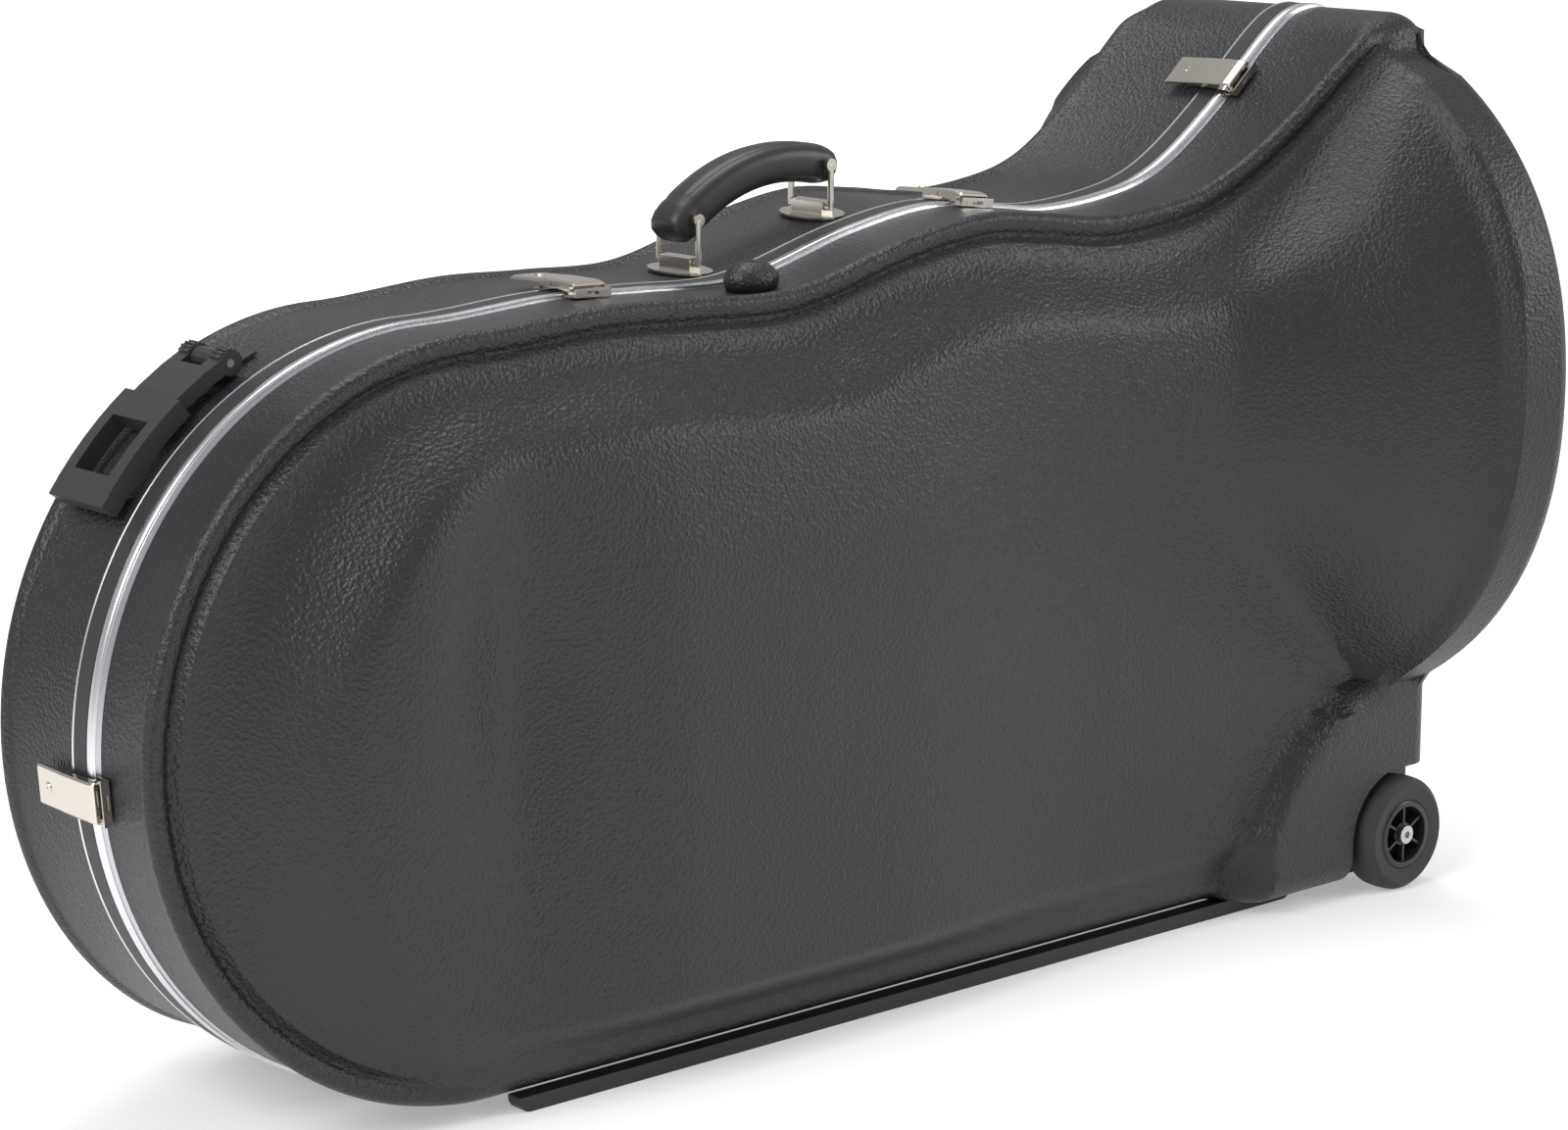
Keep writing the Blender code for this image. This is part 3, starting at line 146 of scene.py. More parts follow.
def topHeight(x):
    corner = overall["corner"]
    if x <= bowX:
        return bowZ + math.sqrt(max(overall["bowRadius"] ** 2 - (x - bowX) ** 2, 0.0))
    if x >= endX - corner:
        reach = min(x - endX + corner, corner)
        return overall["bellTop"] - corner + math.sqrt(corner**2 - reach**2)
    for i in range(len(topLine) - 1):
        (x0, z0), (x1, z1) = topLine[i], topLine[i + 1]
        if x <= x1:
            t, width = (x - x0) / (x1 - x0), x1 - x0
            rise = slopeAt(i) * width * t * (1 - t) ** 2
            fall = slopeAt(i + 1) * width * t * t * (1 - t)
            return mix(z0, z1, t * t * (3 - 2 * t)) + rise - fall
    return overall["bellTop"]


def bottomHeight(x):
    corner = overall["corner"]
    if x <= bowX:
        return bowZ - math.sqrt(max(overall["bowRadius"] ** 2 - (x - bowX) ** 2, 0.0))
    if x >= endX - corner:
        reach = min(x - endX + corner, corner)
        return overall["bottom"] + corner - math.sqrt(corner**2 - reach**2)
    return overall["bottom"]


def bellDepth(x, z):
    halfHeight = overall["bellHalfHeight"]
    if x < creaseX:
        halfHeight = topHeight(max(x, bowX)) - bellZ
    reach = abs(z - bellZ) / halfHeight
    if reach >= 1:
        return 0.0
    power = overall["squareness"]
    return along(flare, x) * (1 - reach**power) ** (1 / power)


def hill(x, z, atX, atZ, wide, high):
    return math.exp(-(((x - atX) / wide) ** 2) - ((z - atZ) / high) ** 2)


def faceHeight(x, z):
    crest = 0.010 * hill(x, z, bowLeft + 0.150, bowZ + 0.055, 0.055, 0.120)
    valley = 0.010 * hill(x, z, bowLeft + 0.220, bowZ + 0.030, 0.035, 0.120)
    plateau = ease(bowLeft + 0.222, bowLeft + 0.345, x)
    plateau *= 1 - ease(bowLeft + 0.500, bowLeft + 0.690, x)
    plateau *= 1 - ease(0.300, 0.435, z)
    body = overall["face"] + crest - valley + overall["plateau"] * plateau
    bell = bellDepth(x, z)
    height = 0.5 * (body + bell + math.hypot(body - bell, 0.016))
    fromWheel = math.hypot(x - wheel["x"], z - overall["bottom"])
    radius = overall["panelRadius"]
    housing = 1 - ease(radius - 0.004, radius + 0.010, fromWheel)
    return mix(height, max(height, overall["panel"]), housing)


def faceDepth(side, x, z):
    column = 1 if side == front else 2
    inset = overall["rimInset"]
    depth = faceHeight(x, z) + side * overall["seam"]
    upper, lower = along(upperEdge, x, column), along(lowerEdge, x, column)
    soft = mix(0.13, 0.055, ease(bowLeft, bowX, x))
    if x < bowX:
        edge = mix(lower, upper, ease(bowZ - 0.10, bowZ + 0.10, z))
        reach = overall["bowRadius"] - math.hypot(x - bowX, z - bowZ)
        lowSoft = mix(0.13, 0.030, ease(bowLeft, bowX, x))
        soft = mix(lowSoft, soft, ease(bowZ - 0.10, bowZ + 0.10, z))
        return mix(edge, depth, ease(inset, inset + soft, reach))
    soft *= 1 - 0.6 * ease(creaseX - 0.08, creaseX, x)
    depth = mix(upper, depth, ease(inset, inset + soft, topHeight(x) - z))
    housing = overall["panel"] + side * overall["seam"]
    lower = mix(lower, housing, ease(wheel["x"] - 0.150, wheel["x"] - 0.125, x))
    return mix(lower, depth, ease(inset, inset + 0.030, z - bottomHeight(x)))


fineness = {"arc": 20, "top": 120, "side": 64}


def rimStations():
    """Stations (x, z, normal x, normal z) round the rim: top, bell end, bottom, bow."""
    quarter = math.radians(45)
    arcs, tops, sides = fineness["arc"], fineness["top"], fineness["side"]
    corner = overall["corner"]
    top = []
    for i in range(arcs):
        angle = math.pi - quarter - (math.pi / 2 - quarter) * i / arcs
        top.append((bowX + overall["bowRadius"] * math.cos(angle), math.cos(angle), math.sin(angle)))
    straight = endX - corner - bowX
    places = []
    for i in range(tops):
        share = i / (tops - 1)
        places.append(bowX + straight * mix(share, math.sin(share * math.pi / 2), 0.35))
    nearest = min(range(tops), key=lambda i: abs(places[i] - creaseX))
    places[nearest] = creaseX
    for x in places:
        low, high = max(x - 0.0005, bowX), min(x + 0.0005, endX - corner)
        slope = (topHeight(high) - topHeight(low)) / (high - low)
        size = math.hypot(1, slope)
        top.append((x, -slope / size, 1 / size))
    for i in range(1, 7):
        turn = quarter * i / 6
        top.append((endX - corner + corner * math.sin(turn), math.sin(turn), math.cos(turn)))
    ring = [(x, topHeight(x), nx, nz) for x, nx, nz in top]
    lastX = top[-1][0]
    high, low = ring[-1][1], bottomHeight(lastX)
    shares = []
    for j in range(sides + 1):
        shares.append(mix(j / sides, 0.5 - 0.5 * math.cos(math.pi * j / sides), 0.5))
    for share in shares[1:-1]:
        ring.append((endX, mix(high, low, share), 1.0, 0.0))
    for x, nx, nz in reversed(top):
        arc = x < bowX or x > endX - corner
        ring.append((x, bottomHeight(x), nx if arc else 0.0, -nz if arc else -1.0))
    for share in reversed(shares[1:-1]):
        angle = math.asin((1 - 2 * share) * math.sin(quarter))
        nx, nz = -math.cos(angle), math.sin(angle)
        ring.append((bowX + overall["bowRadius"] * nx, bowZ + overall["bowRadius"] * nz, nx, nz))
    return ring, len(top) - 1, shares


rim, topCount, rowShares = rimStations()


def movedIn(station, inset):
    x, z, nx, nz = station
    return x - nx * inset, z - nz * inset


def ridgeShare(station):
    x, z, nx, nz = station
    if nx > 0.5 and x > creaseX:
        return 0.0
    if z > bowZ:
        return 1 - ease(creaseX - 0.020, creaseX + 0.002, x)
    return 1 - ease(bowLeft + 0.10, bowLeft + 0.24, x)


def curveThrough(points, steps):
    """A smooth run of points through a few."""
    made = []
    for i in range(len(points) - 1):
        a = points[max(i - 1, 0)]
        b, c = points[i], points[i + 1]
        d = points[min(i + 2, len(points) - 1)]
        for k in range(steps):
            t = k / steps
            row = []
            for n in (0, 1):
                row.append(
                    0.5
                    * (
                        2 * b[n]
                        + (c[n] - a[n]) * t
                        + (2 * a[n] - 5 * b[n] + 4 * c[n] - d[n]) * t * t
                        + (3 * b[n] - a[n] - 3 * c[n] + d[n]) * t**3
                    )
                )
            made.append(tuple(row))
    made.append(points[-1])
    return made


def rimProfile(side, station, offset, edge):
    x, z = movedIn(station, overall["rimInset"])
    face = faceDepth(side, x, z) - offset
    inset = overall["rimInset"]
    if offset:
        rows = ((0.0, edge), (0.0012, face - 0.014), (0.006, face - 0.005), (inset, face))
        return [(row[0] + offset, row[1]) for row in rows]
    proud = overall["ridge"]
    ridge = (
        (0.0, edge),
        (0.0015, face - 0.0155),
        (-0.4 * proud, face - 0.0115),
        (-proud, face - 0.0070),
        (0.0022, face - 0.0030),
        (0.0085, face - 0.0035),
        (0.0135, face - overall["groove"]),
        (inset, face),
    )
    plain = (
        (0.0, edge),
        (0.0, face - 0.0240),
        (0.0004, face - 0.0180),
        (0.0020, face - 0.0120),
        (0.0050, face - 0.0070),
        (0.0090, face - 0.0035),
        (0.0135, face - 0.0010),
        (inset, face),
    )
    share = ridgeShare(station)
    rows = [(mix(p[0], r[0], share), mix(p[1], r[1], share)) for p, r in zip(plain, ridge)]
    return [rows[0]] + curveThrough(rows[1:], 4)


def innerDepth(side, x, z, offset):
    """Depth that stays a wall's thickness inside the face, also where the face is steep."""
    lowest = faceDepth(side, x, z) - offset
    for share in (0.55, 1.0):
        drop = offset * math.sqrt(1 - share**2)
        for k in range(8):
            turn = math.pi * k / 4
            reach = offset * share
            depth = faceDepth(side, x + reach * math.cos(turn), z + reach * math.sin(turn)) - drop
            lowest = min(lowest, depth)
    return lowest


def halfForm(name, side, offset, edge):
    """One closed half of the case as an object."""
    profiles = [rimProfile(side, station, offset, edge) for station in rim]
    rings = []
    for row in range(len(profiles[0])):
        ring = []
        for station, profile in zip(rim, profiles):
            x, z = movedIn(station, profile[row][0])
            ring.append((x, seamY + side * profile[row][1], z))
        rings.append(ring)
    mesh = bmesh.new()
    loops = [[mesh.verts.new(point) for point in ring] for ring in rings]
    total = len(rim)
    for near, far in zip(loops, loops[1:]):
        for i in range(total):
            k = (i + 1) % total
            mesh.faces.new((near[i], near[k], far[k], far[i]))
    mesh.faces.new(loops[0])
    count = len(rowShares) - 1
    last, ring = loops[-1], rings[-1]
    inner = {}
    for i in range(1, topCount):
        top, bottom = ring[i], ring[2 * topCount + count - i]
        share = i / topCount
        leanLeft, leanRight = 1 - ease(0.0, 0.45, share), ease(0.80, 1.0, share)
        for j in range(1, count):
            bow, end = ring[2 * topCount + 2 * count - j], ring[topCount + j]
            z = mix(top[2], bottom[2], rowShares[j])
            x = mix(top[0], bottom[0], rowShares[j])
            x += leanLeft * (bow[0] - ring[0][0]) + leanRight * (end[0] - ring[topCount][0])
            depth = faceDepth(side, x, z)
            if offset:
                depth = innerDepth(side, x, z, offset)
            inner[i, j] = mesh.verts.new((x, seamY + side * depth, z))

    def gridVert(i, j):
        if j == 0:
            return last[i]
        if j == count:
            return last[2 * topCount + count - i]
        if i == topCount:
            return last[topCount + j]
        if i == 0:
            return last[(2 * topCount + 2 * count - j) % total]
        return inner[i, j]

    for i in range(topCount):
        for j in range(count):
            mesh.faces.new((gridVert(i, j), gridVert(i + 1, j), gridVert(i + 1, j + 1), gridVert(i, j + 1)))
    return finished(mesh, name)


def finished(mesh, name):
    bmesh.ops.recalc_face_normals(mesh, faces=mesh.faces)
    data = bpy.data.meshes.new(name)
    mesh.to_mesh(data)
    mesh.free()
    made = bpy.data.objects.new(name, data)
    bpy.context.scene.collection.objects.link(made)
    return made


def baked(made, angle=35):
    """Modifiers applied, helpers gone, smooth up to an angle."""
    graph = bpy.context.evaluated_depsgraph_get()
    data = bpy.data.meshes.new_from_object(made.evaluated_get(graph))
    helpers = [step.object for step in made.modifiers if step.type == "BOOLEAN"]
    made.modifiers.clear()
    made.data = data
    for other in helpers:
        for step in list(other.modifiers):
            if step.type == "BOOLEAN" and step.object:
                bpy.data.objects.remove(step.object)
        bpy.data.objects.remove(other)
    data.shade_smooth()
    data.set_sharp_from_angle(angle=math.radians(angle))
    return made


def boolean(made, other, operation):
    step = made.modifiers.new(operation.lower(), "BOOLEAN")
    step.operation = operation
    step.solver = "EXACT"
    step.object = other
    return made


def prism(name, outline, low, high, place=Matrix.Identity(4)):
    mesh = bmesh.new()
    face = mesh.faces.new([mesh.verts.new(place @ Vector((low, y, z))) for y, z in outline])
    grown = bmesh.ops.extrude_face_region(mesh, geom=[face])
    run = place.to_3x3() @ Vector((high - low, 0, 0))
    verts = [v for v in grown["geom"] if isinstance(v, bmesh.types.BMVert)]
    bmesh.ops.translate(mesh, vec=run, verts=verts)
    return finished(mesh, name)


def lathe(name, profile, place, steps=96):
    mesh = bmesh.new()
    rings = []
    for i in range(steps):
        turn = 2 * math.pi * i / steps
        rings.append(
            [mesh.verts.new(place @ Vector((x, r * math.cos(turn), r * math.sin(turn)))) for r, x in profile]
        )
    for i in range(steps):
        near, far = rings[i], rings[(i + 1) % steps]
        for k in range(len(profile)):
            n = (k + 1) % len(profile)
            mesh.faces.new((near[k], near[n], far[n], far[k]))
    return finished(mesh, name)


def rimBand(name, profile):
    mesh = bmesh.new()
    loops = []
    for station in rim:
        loop = []
        for outward, behind in profile:
            x, z = movedIn(station, -outward)
            loop.append(mesh.verts.new((x, seamY + behind, z)))
        loops.append(loop)
    for i in range(len(loops)):
        near, far = loops[i], loops[(i + 1) % len(loops)]
        for k in range(len(profile)):
            n = (k + 1) % len(profile)
            mesh.faces.new((near[k], near[n], far[n], far[k]))
    return finished(mesh, name)


class Socket:
    """A shader socket with arithmetic."""

    def __init__(self, kit, socket):
        self.kit = kit
        self.socket = socket

    def join(self, operation, a, b):
        return self.kit.node("ShaderNodeMath", "Value", {0: a, 1: b}, operation=operation)

    def __add__(self, other):
        return self.join("ADD", self, other)

    def __radd__(self, other):
        return self.join("ADD", other, self)

    def __sub__(self, other):
        return self.join("SUBTRACT", self, other)

    def __rsub__(self, other):
        return self.join("SUBTRACT", other, self)

    def __mul__(self, other):
        return self.join("MULTIPLY", self, other)

    def __rmul__(self, other):
        return self.join("MULTIPLY", other, self)


class Kit:
    """A material's node tree."""

    def __init__(self, name):
        self.material = bpy.data.materials.new(name)
        self.material.use_nodes = True
        self.tree = self.material.node_tree
        self.shader = self.tree.nodes["Principled BSDF"]
        self.place = self.node("ShaderNodeTexCoord", "Object", {})

    def put(self, target, value):
        if isinstance(value, Socket):
            self.tree.links.new(value.socket, target)
        else:
            target.default_value = value

    def node(self, kind, output, inputs, **settings):
        made = self.tree.nodes.new(kind)
        for key, value in settings.items():
            setattr(made, key, value)
        for key, value in inputs.items():
            self.put(made.inputs[key], value)
        return Socket(self, made.outputs[output])

    def noise(self, scale, detail=3.0):
        values = {"Vector": self.place, "Scale": scale, "Detail": detail}
        return self.node("ShaderNodeTexNoise", "Fac", values)

    def set(self, **values):
        for key, value in values.items():
            self.put(self.shader.inputs[key.replace("_", " ")], value)
        return self

    def bump(self, height, distance, strength=1.0):
        values = {"Height": height, "Distance": distance, "Strength": strength}
        return self.set(Normal=self.node("ShaderNodeBump", "Normal", values))

    def shade(self, dark, light, factor):
        """A colour between two by a factor."""
        made = self.tree.nodes.new("ShaderNodeMix")
        made.data_type = "RGBA"
        self.put(made.inputs[0], factor)
        made.inputs[6].default_value = (*dark, 1.0)
        made.inputs[7].default_value = (*light, 1.0)
        return self.set(Base_Color=Socket(self, made.outputs[2]))


def grained(name, dark, light, roughness, cell, depth):
    """Moulded plastic with a leather grain: small raised cells, softly uneven."""
    kit = Kit(name)
    cells = kit.node(
        "ShaderNodeTexVoronoi", "Distance", {"Vector": kit.place, "Scale": 1 / cell}, feature="SMOOTH_F1"
    )
    pores = kit.noise(1.7 / cell, 2.0)
    broad = kit.noise(9.0, 2.0)
    kit.shade(dark, light, broad)
    kit.set(Roughness=roughness + 0.10 * (pores - 0.5))
    return kit.bump(cells * 0.7 + pores * 0.5, depth).material


def plain(name, colour, roughness, metallic=0.0, vary=0.04, grain=0.0, scale=900.0):
    kit = Kit(name)
    smears = kit.noise(60.0, 3.0)
    kit.set(Base_Color=(*colour, 1.0), Metallic=metallic)
    kit.set(Roughness=smears * (2 * vary) + (roughness - vary))
    if grain:
        kit.bump(kit.noise(scale, 2.0), grain)
    return kit.material


looks = {
    "shell": grained("shellGrain", (0.012, 0.012, 0.015), (0.017, 0.017, 0.021), 0.37, 0.0023, 0.00100),
    "plush": plain("plush", (0.030, 0.030, 0.034), 0.95, grain=0.0008, scale=700.0),
    "aluminium_trim": plain("satinAluminium", (0.74, 0.75, 0.77), 0.27, 1.0),
    "inlay": plain("inlay", (0.024, 0.024, 0.027), 0.5, grain=0.0001),
    "seal_rubber": plain("sealRubber", (0.018, 0.018, 0.018), 0.75),
    "foam": plain("foamCover", (0.050, 0.050, 0.056), 0.95, grain=0.0008, scale=600.0),
    "runner_plastic": plain("runnerPlastic", (0.018, 0.018, 0.020), 0.42, grain=0.00004),
    "grip_plastic": plain("gripPlastic", (0.022, 0.022, 0.025), 0.40, grain=0.00004),
    "tow_plastic": plain("towPlastic", (0.030, 0.030, 0.033), 0.45, grain=0.00006),
    "tyre_rubber": plain("tyreRubber", (0.035, 0.035, 0.037), 0.68, grain=0.00005),
    "hub_plastic": plain("hubPlastic", (0.016, 0.016, 0.018), 0.32),
    "axle_steel": plain("axleSteel", (0.50, 0.50, 0.52), 0.28, 1.0),
    "nickel": plain("nickel", (0.66, 0.62, 0.56), 0.20, 1.0, vary=0.03),
}
slotOf = {row["node"]: row["material_slot"] for row in frame["record"]["subparts"]}


def dress(made, slot):
    made.data.materials.clear()
    made.data.materials.append(looks[slot])
    return made


# CAD hardware keeps its shape, with softened edges
soft = {"nickel": 0.0003, "runner_plastic": 0.0012, "tow_plastic": 0.0009, "foam": 0.004}
for name, made in nodes.items():
    slot = slotOf[name]
    dress(made, slot)
    if slot in soft:
        edge = made.modifiers.new("soft", "BEVEL")
        edge.width = soft[slot]
        edge.segments = 3
        edge.limit_method = "ANGLE"
        edge.angle_limit = math.radians(35)
        edge.harden_normals = False
print("scene: hardware dressed")


def archBlock(name, side, radius, floor, ceiling):
    points = [(endX + 0.05, -0.05), (wheel["x"] - radius, -0.05)]
    for i in range(33):
        turn = math.pi - math.radians(80) * i / 32
        points.append((wheel["x"] + radius * math.cos(turn), wheel["z"] + radius * math.sin(turn)))
    points.append((endX + 0.05, wheel["z"] + radius * 0.99))
    turned = Matrix(((0, 1, 0, 0), (side, 0, 0, 0), (0, 0, 1, 0), (0, 0, 0, 1)))
    return prism(name, points, floor, ceiling, turned)


shellPieces = (("frontShell", front, "lid", 0.0064), ("rearShell", rear, "base", 0.0104))
for name, side, body, edge in shellPieces:
    outer = halfForm(name, side, 0.0, edge)
    cavity = halfForm(name + "Cavity", side, overall["wall"], -0.002)
    wall = archBlock(name + "WellWall", side, wellRadius + overall["wall"], wellFloor - overall["wall"], 0.3)
    boolean(cavity, wall, "DIFFERENCE")
    boolean(outer, cavity, "DIFFERENCE")
    boolean(outer, archBlock(name + "Well", side, wellRadius, wellFloor, 0.3), "DIFFERENCE")
    if side == front:
        bpy.ops.mesh.primitive_uv_sphere_add(segments=48, ring_count=24, location=(-0.048, -0.054, 0.4650))
        bump = bpy.context.object
        bump.scale = (0.019, 0.014, 0.012)
        boolean(outer, bump, "UNION")
    baked(outer)
    dress(outer, "shell")
    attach(outer, body)
    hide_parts("front_shell" if side == front else "rear_shell")
print("scene: shells made")

trim = {"proud": 0.0022, "inner": -0.0053, "bead": 0.0062, "recess": 0.0010, "line": 0.0194, "flange": 0.0210}
bands = {
    "frontValance": (
        "lid",
        "aluminium_trim",
        "front_valance",
        (
            (0.0016, -0.0004),
            (trim["proud"], -0.0008),
            (trim["proud"], -0.0026),
            (0.0018, -0.0030),
            (0.0, -0.0030),
            (0.0, -0.0060),
            (trim["inner"], -0.0060),
            (trim["inner"], -0.0004),
        ),
    ),
    "rearValance": (
        "base",
        "aluminium_trim",
        "rear_valance",
        (
            (0.0013, 0.0),
            (0.0019, 0.0006),
            (trim["proud"], 0.0016),
            (trim["proud"], 0.0046),
            (0.0019, 0.0056),
            (0.0014, trim["bead"]),
            (trim["recess"], trim["bead"]),
            (trim["recess"], trim["line"]),
            (0.0018, trim["line"]),
            (trim["proud"], trim["line"] + 0.0004),
            (trim["proud"], trim["flange"] - 0.0004),
            (0.0018, trim["flange"]),
            (0.0004, trim["flange"]),
            (0.0004, 0.0100),
            (trim["inner"], 0.0100),
            (trim["inner"], 0.0),
            (-0.0038, 0.0),
            (-0.0038, 0.0036),
            (-0.0012, 0.0036),
            (-0.0012, 0.0),
        ),
    ),
    "valanceInlay": (
        "base",
        "inlay",
        "valance_inlay",
        (
            (trim["recess"] + 0.0002, trim["bead"] + 0.0003),
            (trim["recess"] + 0.0002, trim["line"] - 0.0003),
            (trim["recess"] + 0.0008, trim["line"] - 0.0005),
            (trim["recess"] + 0.0008, trim["bead"] + 0.0005),
        ),
    ),
    "sealStrip": (
        "base",
        "seal_rubber",
        "seal",
        ((-0.0015, 0.0), (-0.0015, 0.0033), (-0.0035, 0.0033), (-0.0035, 0.0)),
    ),
}
for name, (body, slot, node, profile) in bands.items():
    band = baked(rimBand(name, profile), 40)
    dress(band, slot)
    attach(band, body)
    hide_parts(node)
print("scene: trim made")

for side, word, body in ((front, "front", "front_wheel"), (rear, "rear", "rear_wheel")):
    axle = Matrix(((0, side, 0, wheel["x"]), (side, 0, 0, 0), (0, 0, -1, wheel["z"]), (0, 0, 0, 1)))
    outer, inner = wheel["face"], wheel["face"] - wheel["width"]
    radius = wheel["radius"]
    tread = [(0.0243, inner + 0.002)]
    corners = ((radius - 0.006, inner), (radius - 0.0012, inner + 0.0045), (radius - 0.0001, inner + 0.010))
    outerCorners = [(r, outer + inner - x) for r, x in reversed(corners)]
    tread += curveThrough(list(corners) + outerCorners, 5)
    tread.append((0.0243, outer - 0.002))
    tyre = baked(lathe(word + "Tyre", tread, axle))
    dress(tyre, "tyre_rubber")
    middle = (outer + inner) / 2
    hubProfile = (
        (0.0044, inner + 0.0015),
        (0.0085, inner + 0.0015),
        (0.0085, middle - 0.00225),
        (0.0185, middle - 0.00225),
        (0.0195, inner + 0.002),
        (0.0240, inner + 0.002),
        (0.0240, outer - 0.002),
        (0.0234, outer - 0.0013),
        (0.0225, outer - 0.001),
        (0.0201, outer - 0.001),
        (0.0196, outer - 0.0015),
        (0.0185, middle + 0.00225),
        (0.0085, middle + 0.00225),
        (0.0083, outer - 0.0045),
        (0.0078, outer - 0.004),
        (0.0044, outer - 0.004),
    )
    hub = lathe(word + "Hub", hubProfile, axle)
    for i in range(6):
        spoke = axle @ Matrix.Rotation(math.pi * i / 3, 4, "X")
        outline = ((-0.0009, 0.007), (0.0009, 0.007), (0.0009, 0.0195), (-0.0009, 0.0195))
        boolean(hub, prism(f"{word}Rib{i}", outline, middle - 0.0005, outer - 0.0035, spoke), "UNION")
    baked(hub)
    dress(hub, "hub_plastic")
    for made, slot, node in ((tyre, "tyre_rubber", "_tyre"), (hub, "hub_plastic", "_hub")):
        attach(made, body)
        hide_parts(word + node)
print("scene: wheels made")

grip = {"height": 0.026, "width": 0.031, "rise": 0.013, "y": 0.024, "rod": 0.027, "reach": 0.112}
middleX = bowLeft + 0.516
slope = (topHeight(middleX + 0.056) - topHeight(middleX - 0.056)) / 0.112
halfReach = grip["reach"] / 2 / math.hypot(1, slope)
eyes = []
for sign in (-1, 1):
    x = middleX + sign * halfReach
    eyes.append(Vector((x, topHeight(x) + 0.0067 + grip["rod"])))
span = eyes[1] - eyes[0]
run = span.normalized()
up = Vector((-run.y, run.x))
mesh = bmesh.new()
loops = []
for i in range(49):
    share = i / 48
    at = mix(-0.0118, span.length + 0.0098, share)
    bend = (at - span.length / 2) / (span.length / 2)
    centre = eyes[0] + run * at + up * (grip["rise"] * (1 - bend * bend) - 0.0005)
    lean = math.atan2(-2 * grip["rise"] * bend, span.length / 2)
    local = run * math.cos(lean) + up * math.sin(lean)
    normal = Vector((-local.y, local.x))
    fromEnd = min(share, 1 - share)
    end = 0.55 + 0.43 * math.sqrt(1 - (1 - min(fromEnd / 0.10, 1.0)) ** 2)
    seam = 0.965 if 0.115 < fromEnd < 0.135 else 1.0
    loop = []
    for k in range(64):
        turn = 2 * math.pi * k / 64
        c, s = math.cos(turn), math.sin(turn)
        groove = 0.0011 * (math.exp(-(((c - 0.36) / 0.07) ** 2)) + math.exp(-(((c + 0.36) / 0.07) ** 2)))
        groove *= ease(0.2, 0.6, s) * ease(0.13, 0.17, fromEnd)
        wide = grip["width"] / 2 * math.copysign(abs(c) ** 0.7, c) * mix(1, end, 0.4) * seam
        tall = (grip["height"] / 2 * seam - groove) * math.copysign(abs(s) ** 0.7, s) * end
        point = centre + normal * tall
        loop.append(mesh.verts.new((point.x, grip["y"] + wide * 0.985, point.y)))
    loops.append(loop)
for near, far in zip(loops, loops[1:]):
    for i in range(64):
        k = (i + 1) % 64
        mesh.faces.new((near[i], near[k], far[k], far[i]))
mesh.faces.new(loops[0])
mesh.faces.new(loops[-1])
handle = baked(finished(mesh, "carryGrip"), 50)
dress(handle, "grip_plastic")
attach(handle, "carry_grip")
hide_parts("handle_grip")
print("scene: grip made")

# Towing handle: ribs on the knuckle, on both sides of the bracket
tow = {"angle": 117.0, "standoff": 0.0105, "y": 0.026, "ribs": 7, "fromMiddle": 0.0160, "knuckle": 0.0077}
hingeTurn = math.radians(tow["angle"])
hingeReach = overall["bowRadius"] + tow["standoff"] - 0.001
hinge = Vector((bowX + hingeReach * math.cos(hingeTurn), 0, bowZ + hingeReach * math.sin(hingeTurn)))
for side, word in ((-1, "Near"), (1, "Far")):
    for i in range(tow["ribs"]):
        turn = math.radians(mix(20, 150, i / (tow["ribs"] - 1)))
        spot = hinge + tow["knuckle"] * Vector((math.cos(turn), 0, math.sin(turn)))
        bpy.ops.mesh.primitive_cylinder_add(vertices=16, radius=0.0009, depth=0.0100)
        rib = bpy.context.object
        rib.name = f"towRib{word}{i}"
        spot.y = tow["y"] + side * tow["fromMiddle"]
        rib.data.transform(Matrix.Translation(spot) @ Matrix.Rotation(math.pi / 2, 4, "X"))
        rib.data.shade_smooth()
        dress(rib, "tow_plastic")
        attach(rib, "tow_handle")
print("scene: towing handle ribbed")

# Latch plates: a round boss with a small bore
latch = {"boss": 0.0031, "along": 0.0370, "reach": 0.0084, "rise": 0.0009}
for number in (1, 2, 3, 4):
    joint = next(j for j in frame["joints"] if j["name"] == f"latch_{number}_lever_hinge")
    tangent = Vector(joint["axis"])
    rearwards = Vector((0, 1, 0))
    outwards = tangent.cross(rearwards)
    pivot = Vector(joint["pos_m"])
    columns = Matrix((outwards, rearwards, -tangent)).transposed().to_4x4()
    origin = pivot + rearwards * (latch["along"] + 0.0075) + outwards * (latch["reach"] - 0.0052)
    place = Matrix.Translation(origin) @ columns
    boss, rise = latch["boss"], latch["rise"]
    profile = ((0.0, -0.0006), (boss, -0.0006), (boss, 0.0005), (boss - 0.0004, rise))
    profile += ((0.0006, rise), (0.0006, 0.0003), (0.0, 0.0003))
    mesh = bmesh.new()
    rings = []
    for i in range(40):
        turn = 2 * math.pi * i / 40
        points = [place @ Vector((x, r * math.cos(turn), r * math.sin(turn))) for r, x in profile]
        rings.append([mesh.verts.new(point) for point in points])
    for i in range(40):
        near, far = rings[i], rings[(i + 1) % 40]
        for k in range(len(profile) - 1):
            mesh.faces.new((near[k], near[k + 1], far[k + 1], far[k]))
    bmesh.ops.remove_doubles(mesh, verts=mesh.verts, dist=1e-6)
    button = baked(finished(mesh, f"latchBoss{number}"), 30)
    dress(button, "nickel")
    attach(button, f"lever_{number}")
print("scene: latch bosses made")

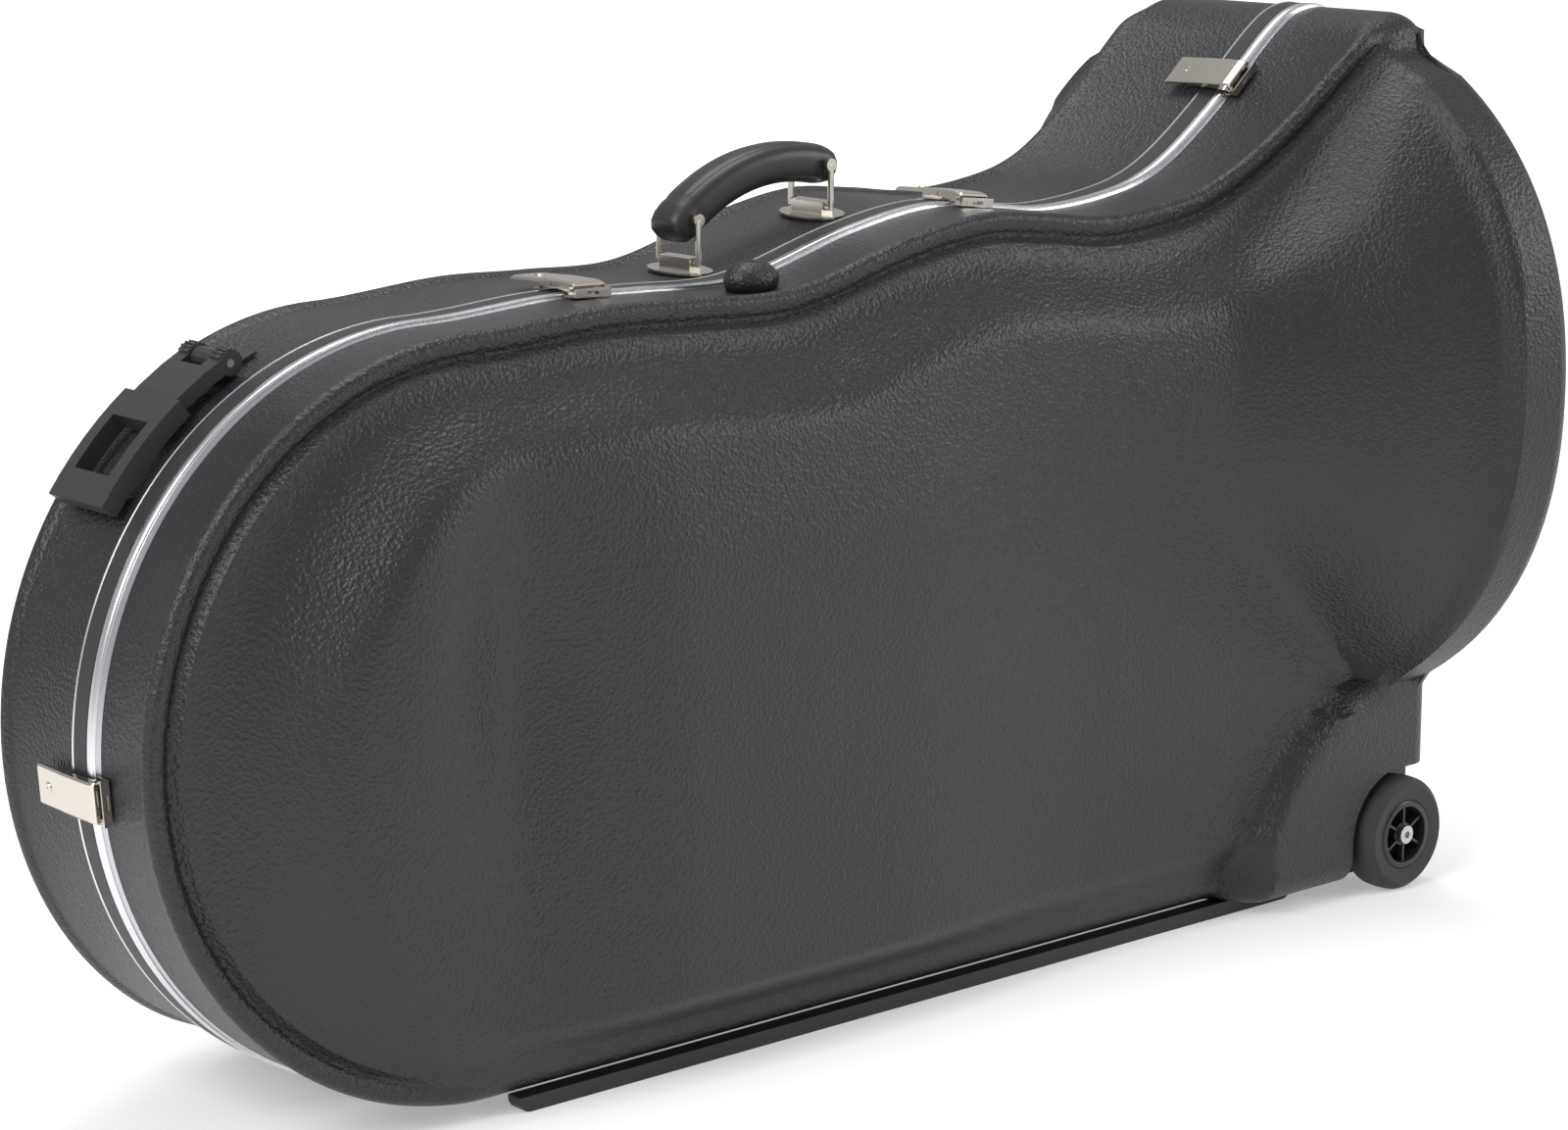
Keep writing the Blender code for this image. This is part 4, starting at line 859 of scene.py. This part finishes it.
# Floor, backdrop and light
bpy.ops.mesh.primitive_plane_add(size=60)
floor = bpy.context.object
floor.name = "floor"
ground = Kit("ground")
path = ground.tree.nodes.new("ShaderNodeLightPath")
seen = Socket(ground, path.outputs["Is Glossy Ray"]) + Socket(ground, path.outputs["Is Transmission Ray"])
distance = ground.node("ShaderNodeVectorMath", "Value", {0: ground.place}, operation="LENGTH")
ramp = {"Value": distance, "From Min": 0.8, "From Max": 3.0, "To Min": 0.34, "To Max": 1.0}
glow = ground.node("ShaderNodeMapRange", "Result", ramp)
direct = Socket(ground, path.outputs["Is Camera Ray"]) * glow
ground.set(Base_Color=(0.80, 0.80, 0.80, 1.0), Roughness=0.9)
ground.set(Emission_Color=(1.0, 1.0, 1.0, 1.0), Emission_Strength=seen * 0.35 + direct)
floor.data.materials.append(ground.material)

world = bpy.data.worlds.new("studio")
bpy.context.scene.world = world
world.use_nodes = True
sky = world.node_tree
background = sky.nodes["Background"]
background.inputs["Color"].default_value = (1.0, 1.0, 1.0, 1.0)
background.inputs["Strength"].default_value = 0.45
lightPath = sky.nodes.new("ShaderNodeLightPath")
backdrop = sky.nodes.new("ShaderNodeBackground")
backdrop.inputs["Color"].default_value = (1.0, 1.0, 1.0, 1.0)
backdrop.inputs["Strength"].default_value = 1.0
blend = sky.nodes.new("ShaderNodeMixShader")
sky.links.new(lightPath.outputs["Is Camera Ray"], blend.inputs[0])
sky.links.new(background.outputs[0], blend.inputs[1])
sky.links.new(backdrop.outputs[0], blend.inputs[2])
sky.links.new(blend.outputs[0], sky.nodes["World Output"].inputs["Surface"])

lamps = {
    "keyLamp": ((-2.6, -0.6, 2.2), 1.6, 60),
    "topLamp": ((0.3, 0.4, 3.2), 1.8, 45),
    "endLamp": ((2.6, -2.0, 1.5), 1.4, 34),
}
for name, (place, size, power) in lamps.items():
    data = bpy.data.lights.new(name, "AREA")
    data.size = size
    data.energy = power
    lamp = bpy.data.objects.new(name, data)
    lamp.location = place
    lamp.rotation_euler = (Vector((0, 0, 0.25)) - Vector(place)).to_track_quat("-Z", "Y").to_euler()
    bpy.context.scene.collection.objects.link(lamp)

cameraData = bpy.data.cameras.new("camera")
cameraData.lens = 92.0
cameraData.sensor_width = 36.0
camera = bpy.data.objects.new("camera", cameraData)
camera.location = (-1.6142, -1.8758, 0.7989)
camera.rotation_euler = (math.radians(78.01), 0.0, math.radians(-41.16))
bpy.context.scene.collection.objects.link(camera)
bpy.context.scene.camera = camera
bpy.context.scene.view_settings.view_transform = "Standard"
print("scene: lit")
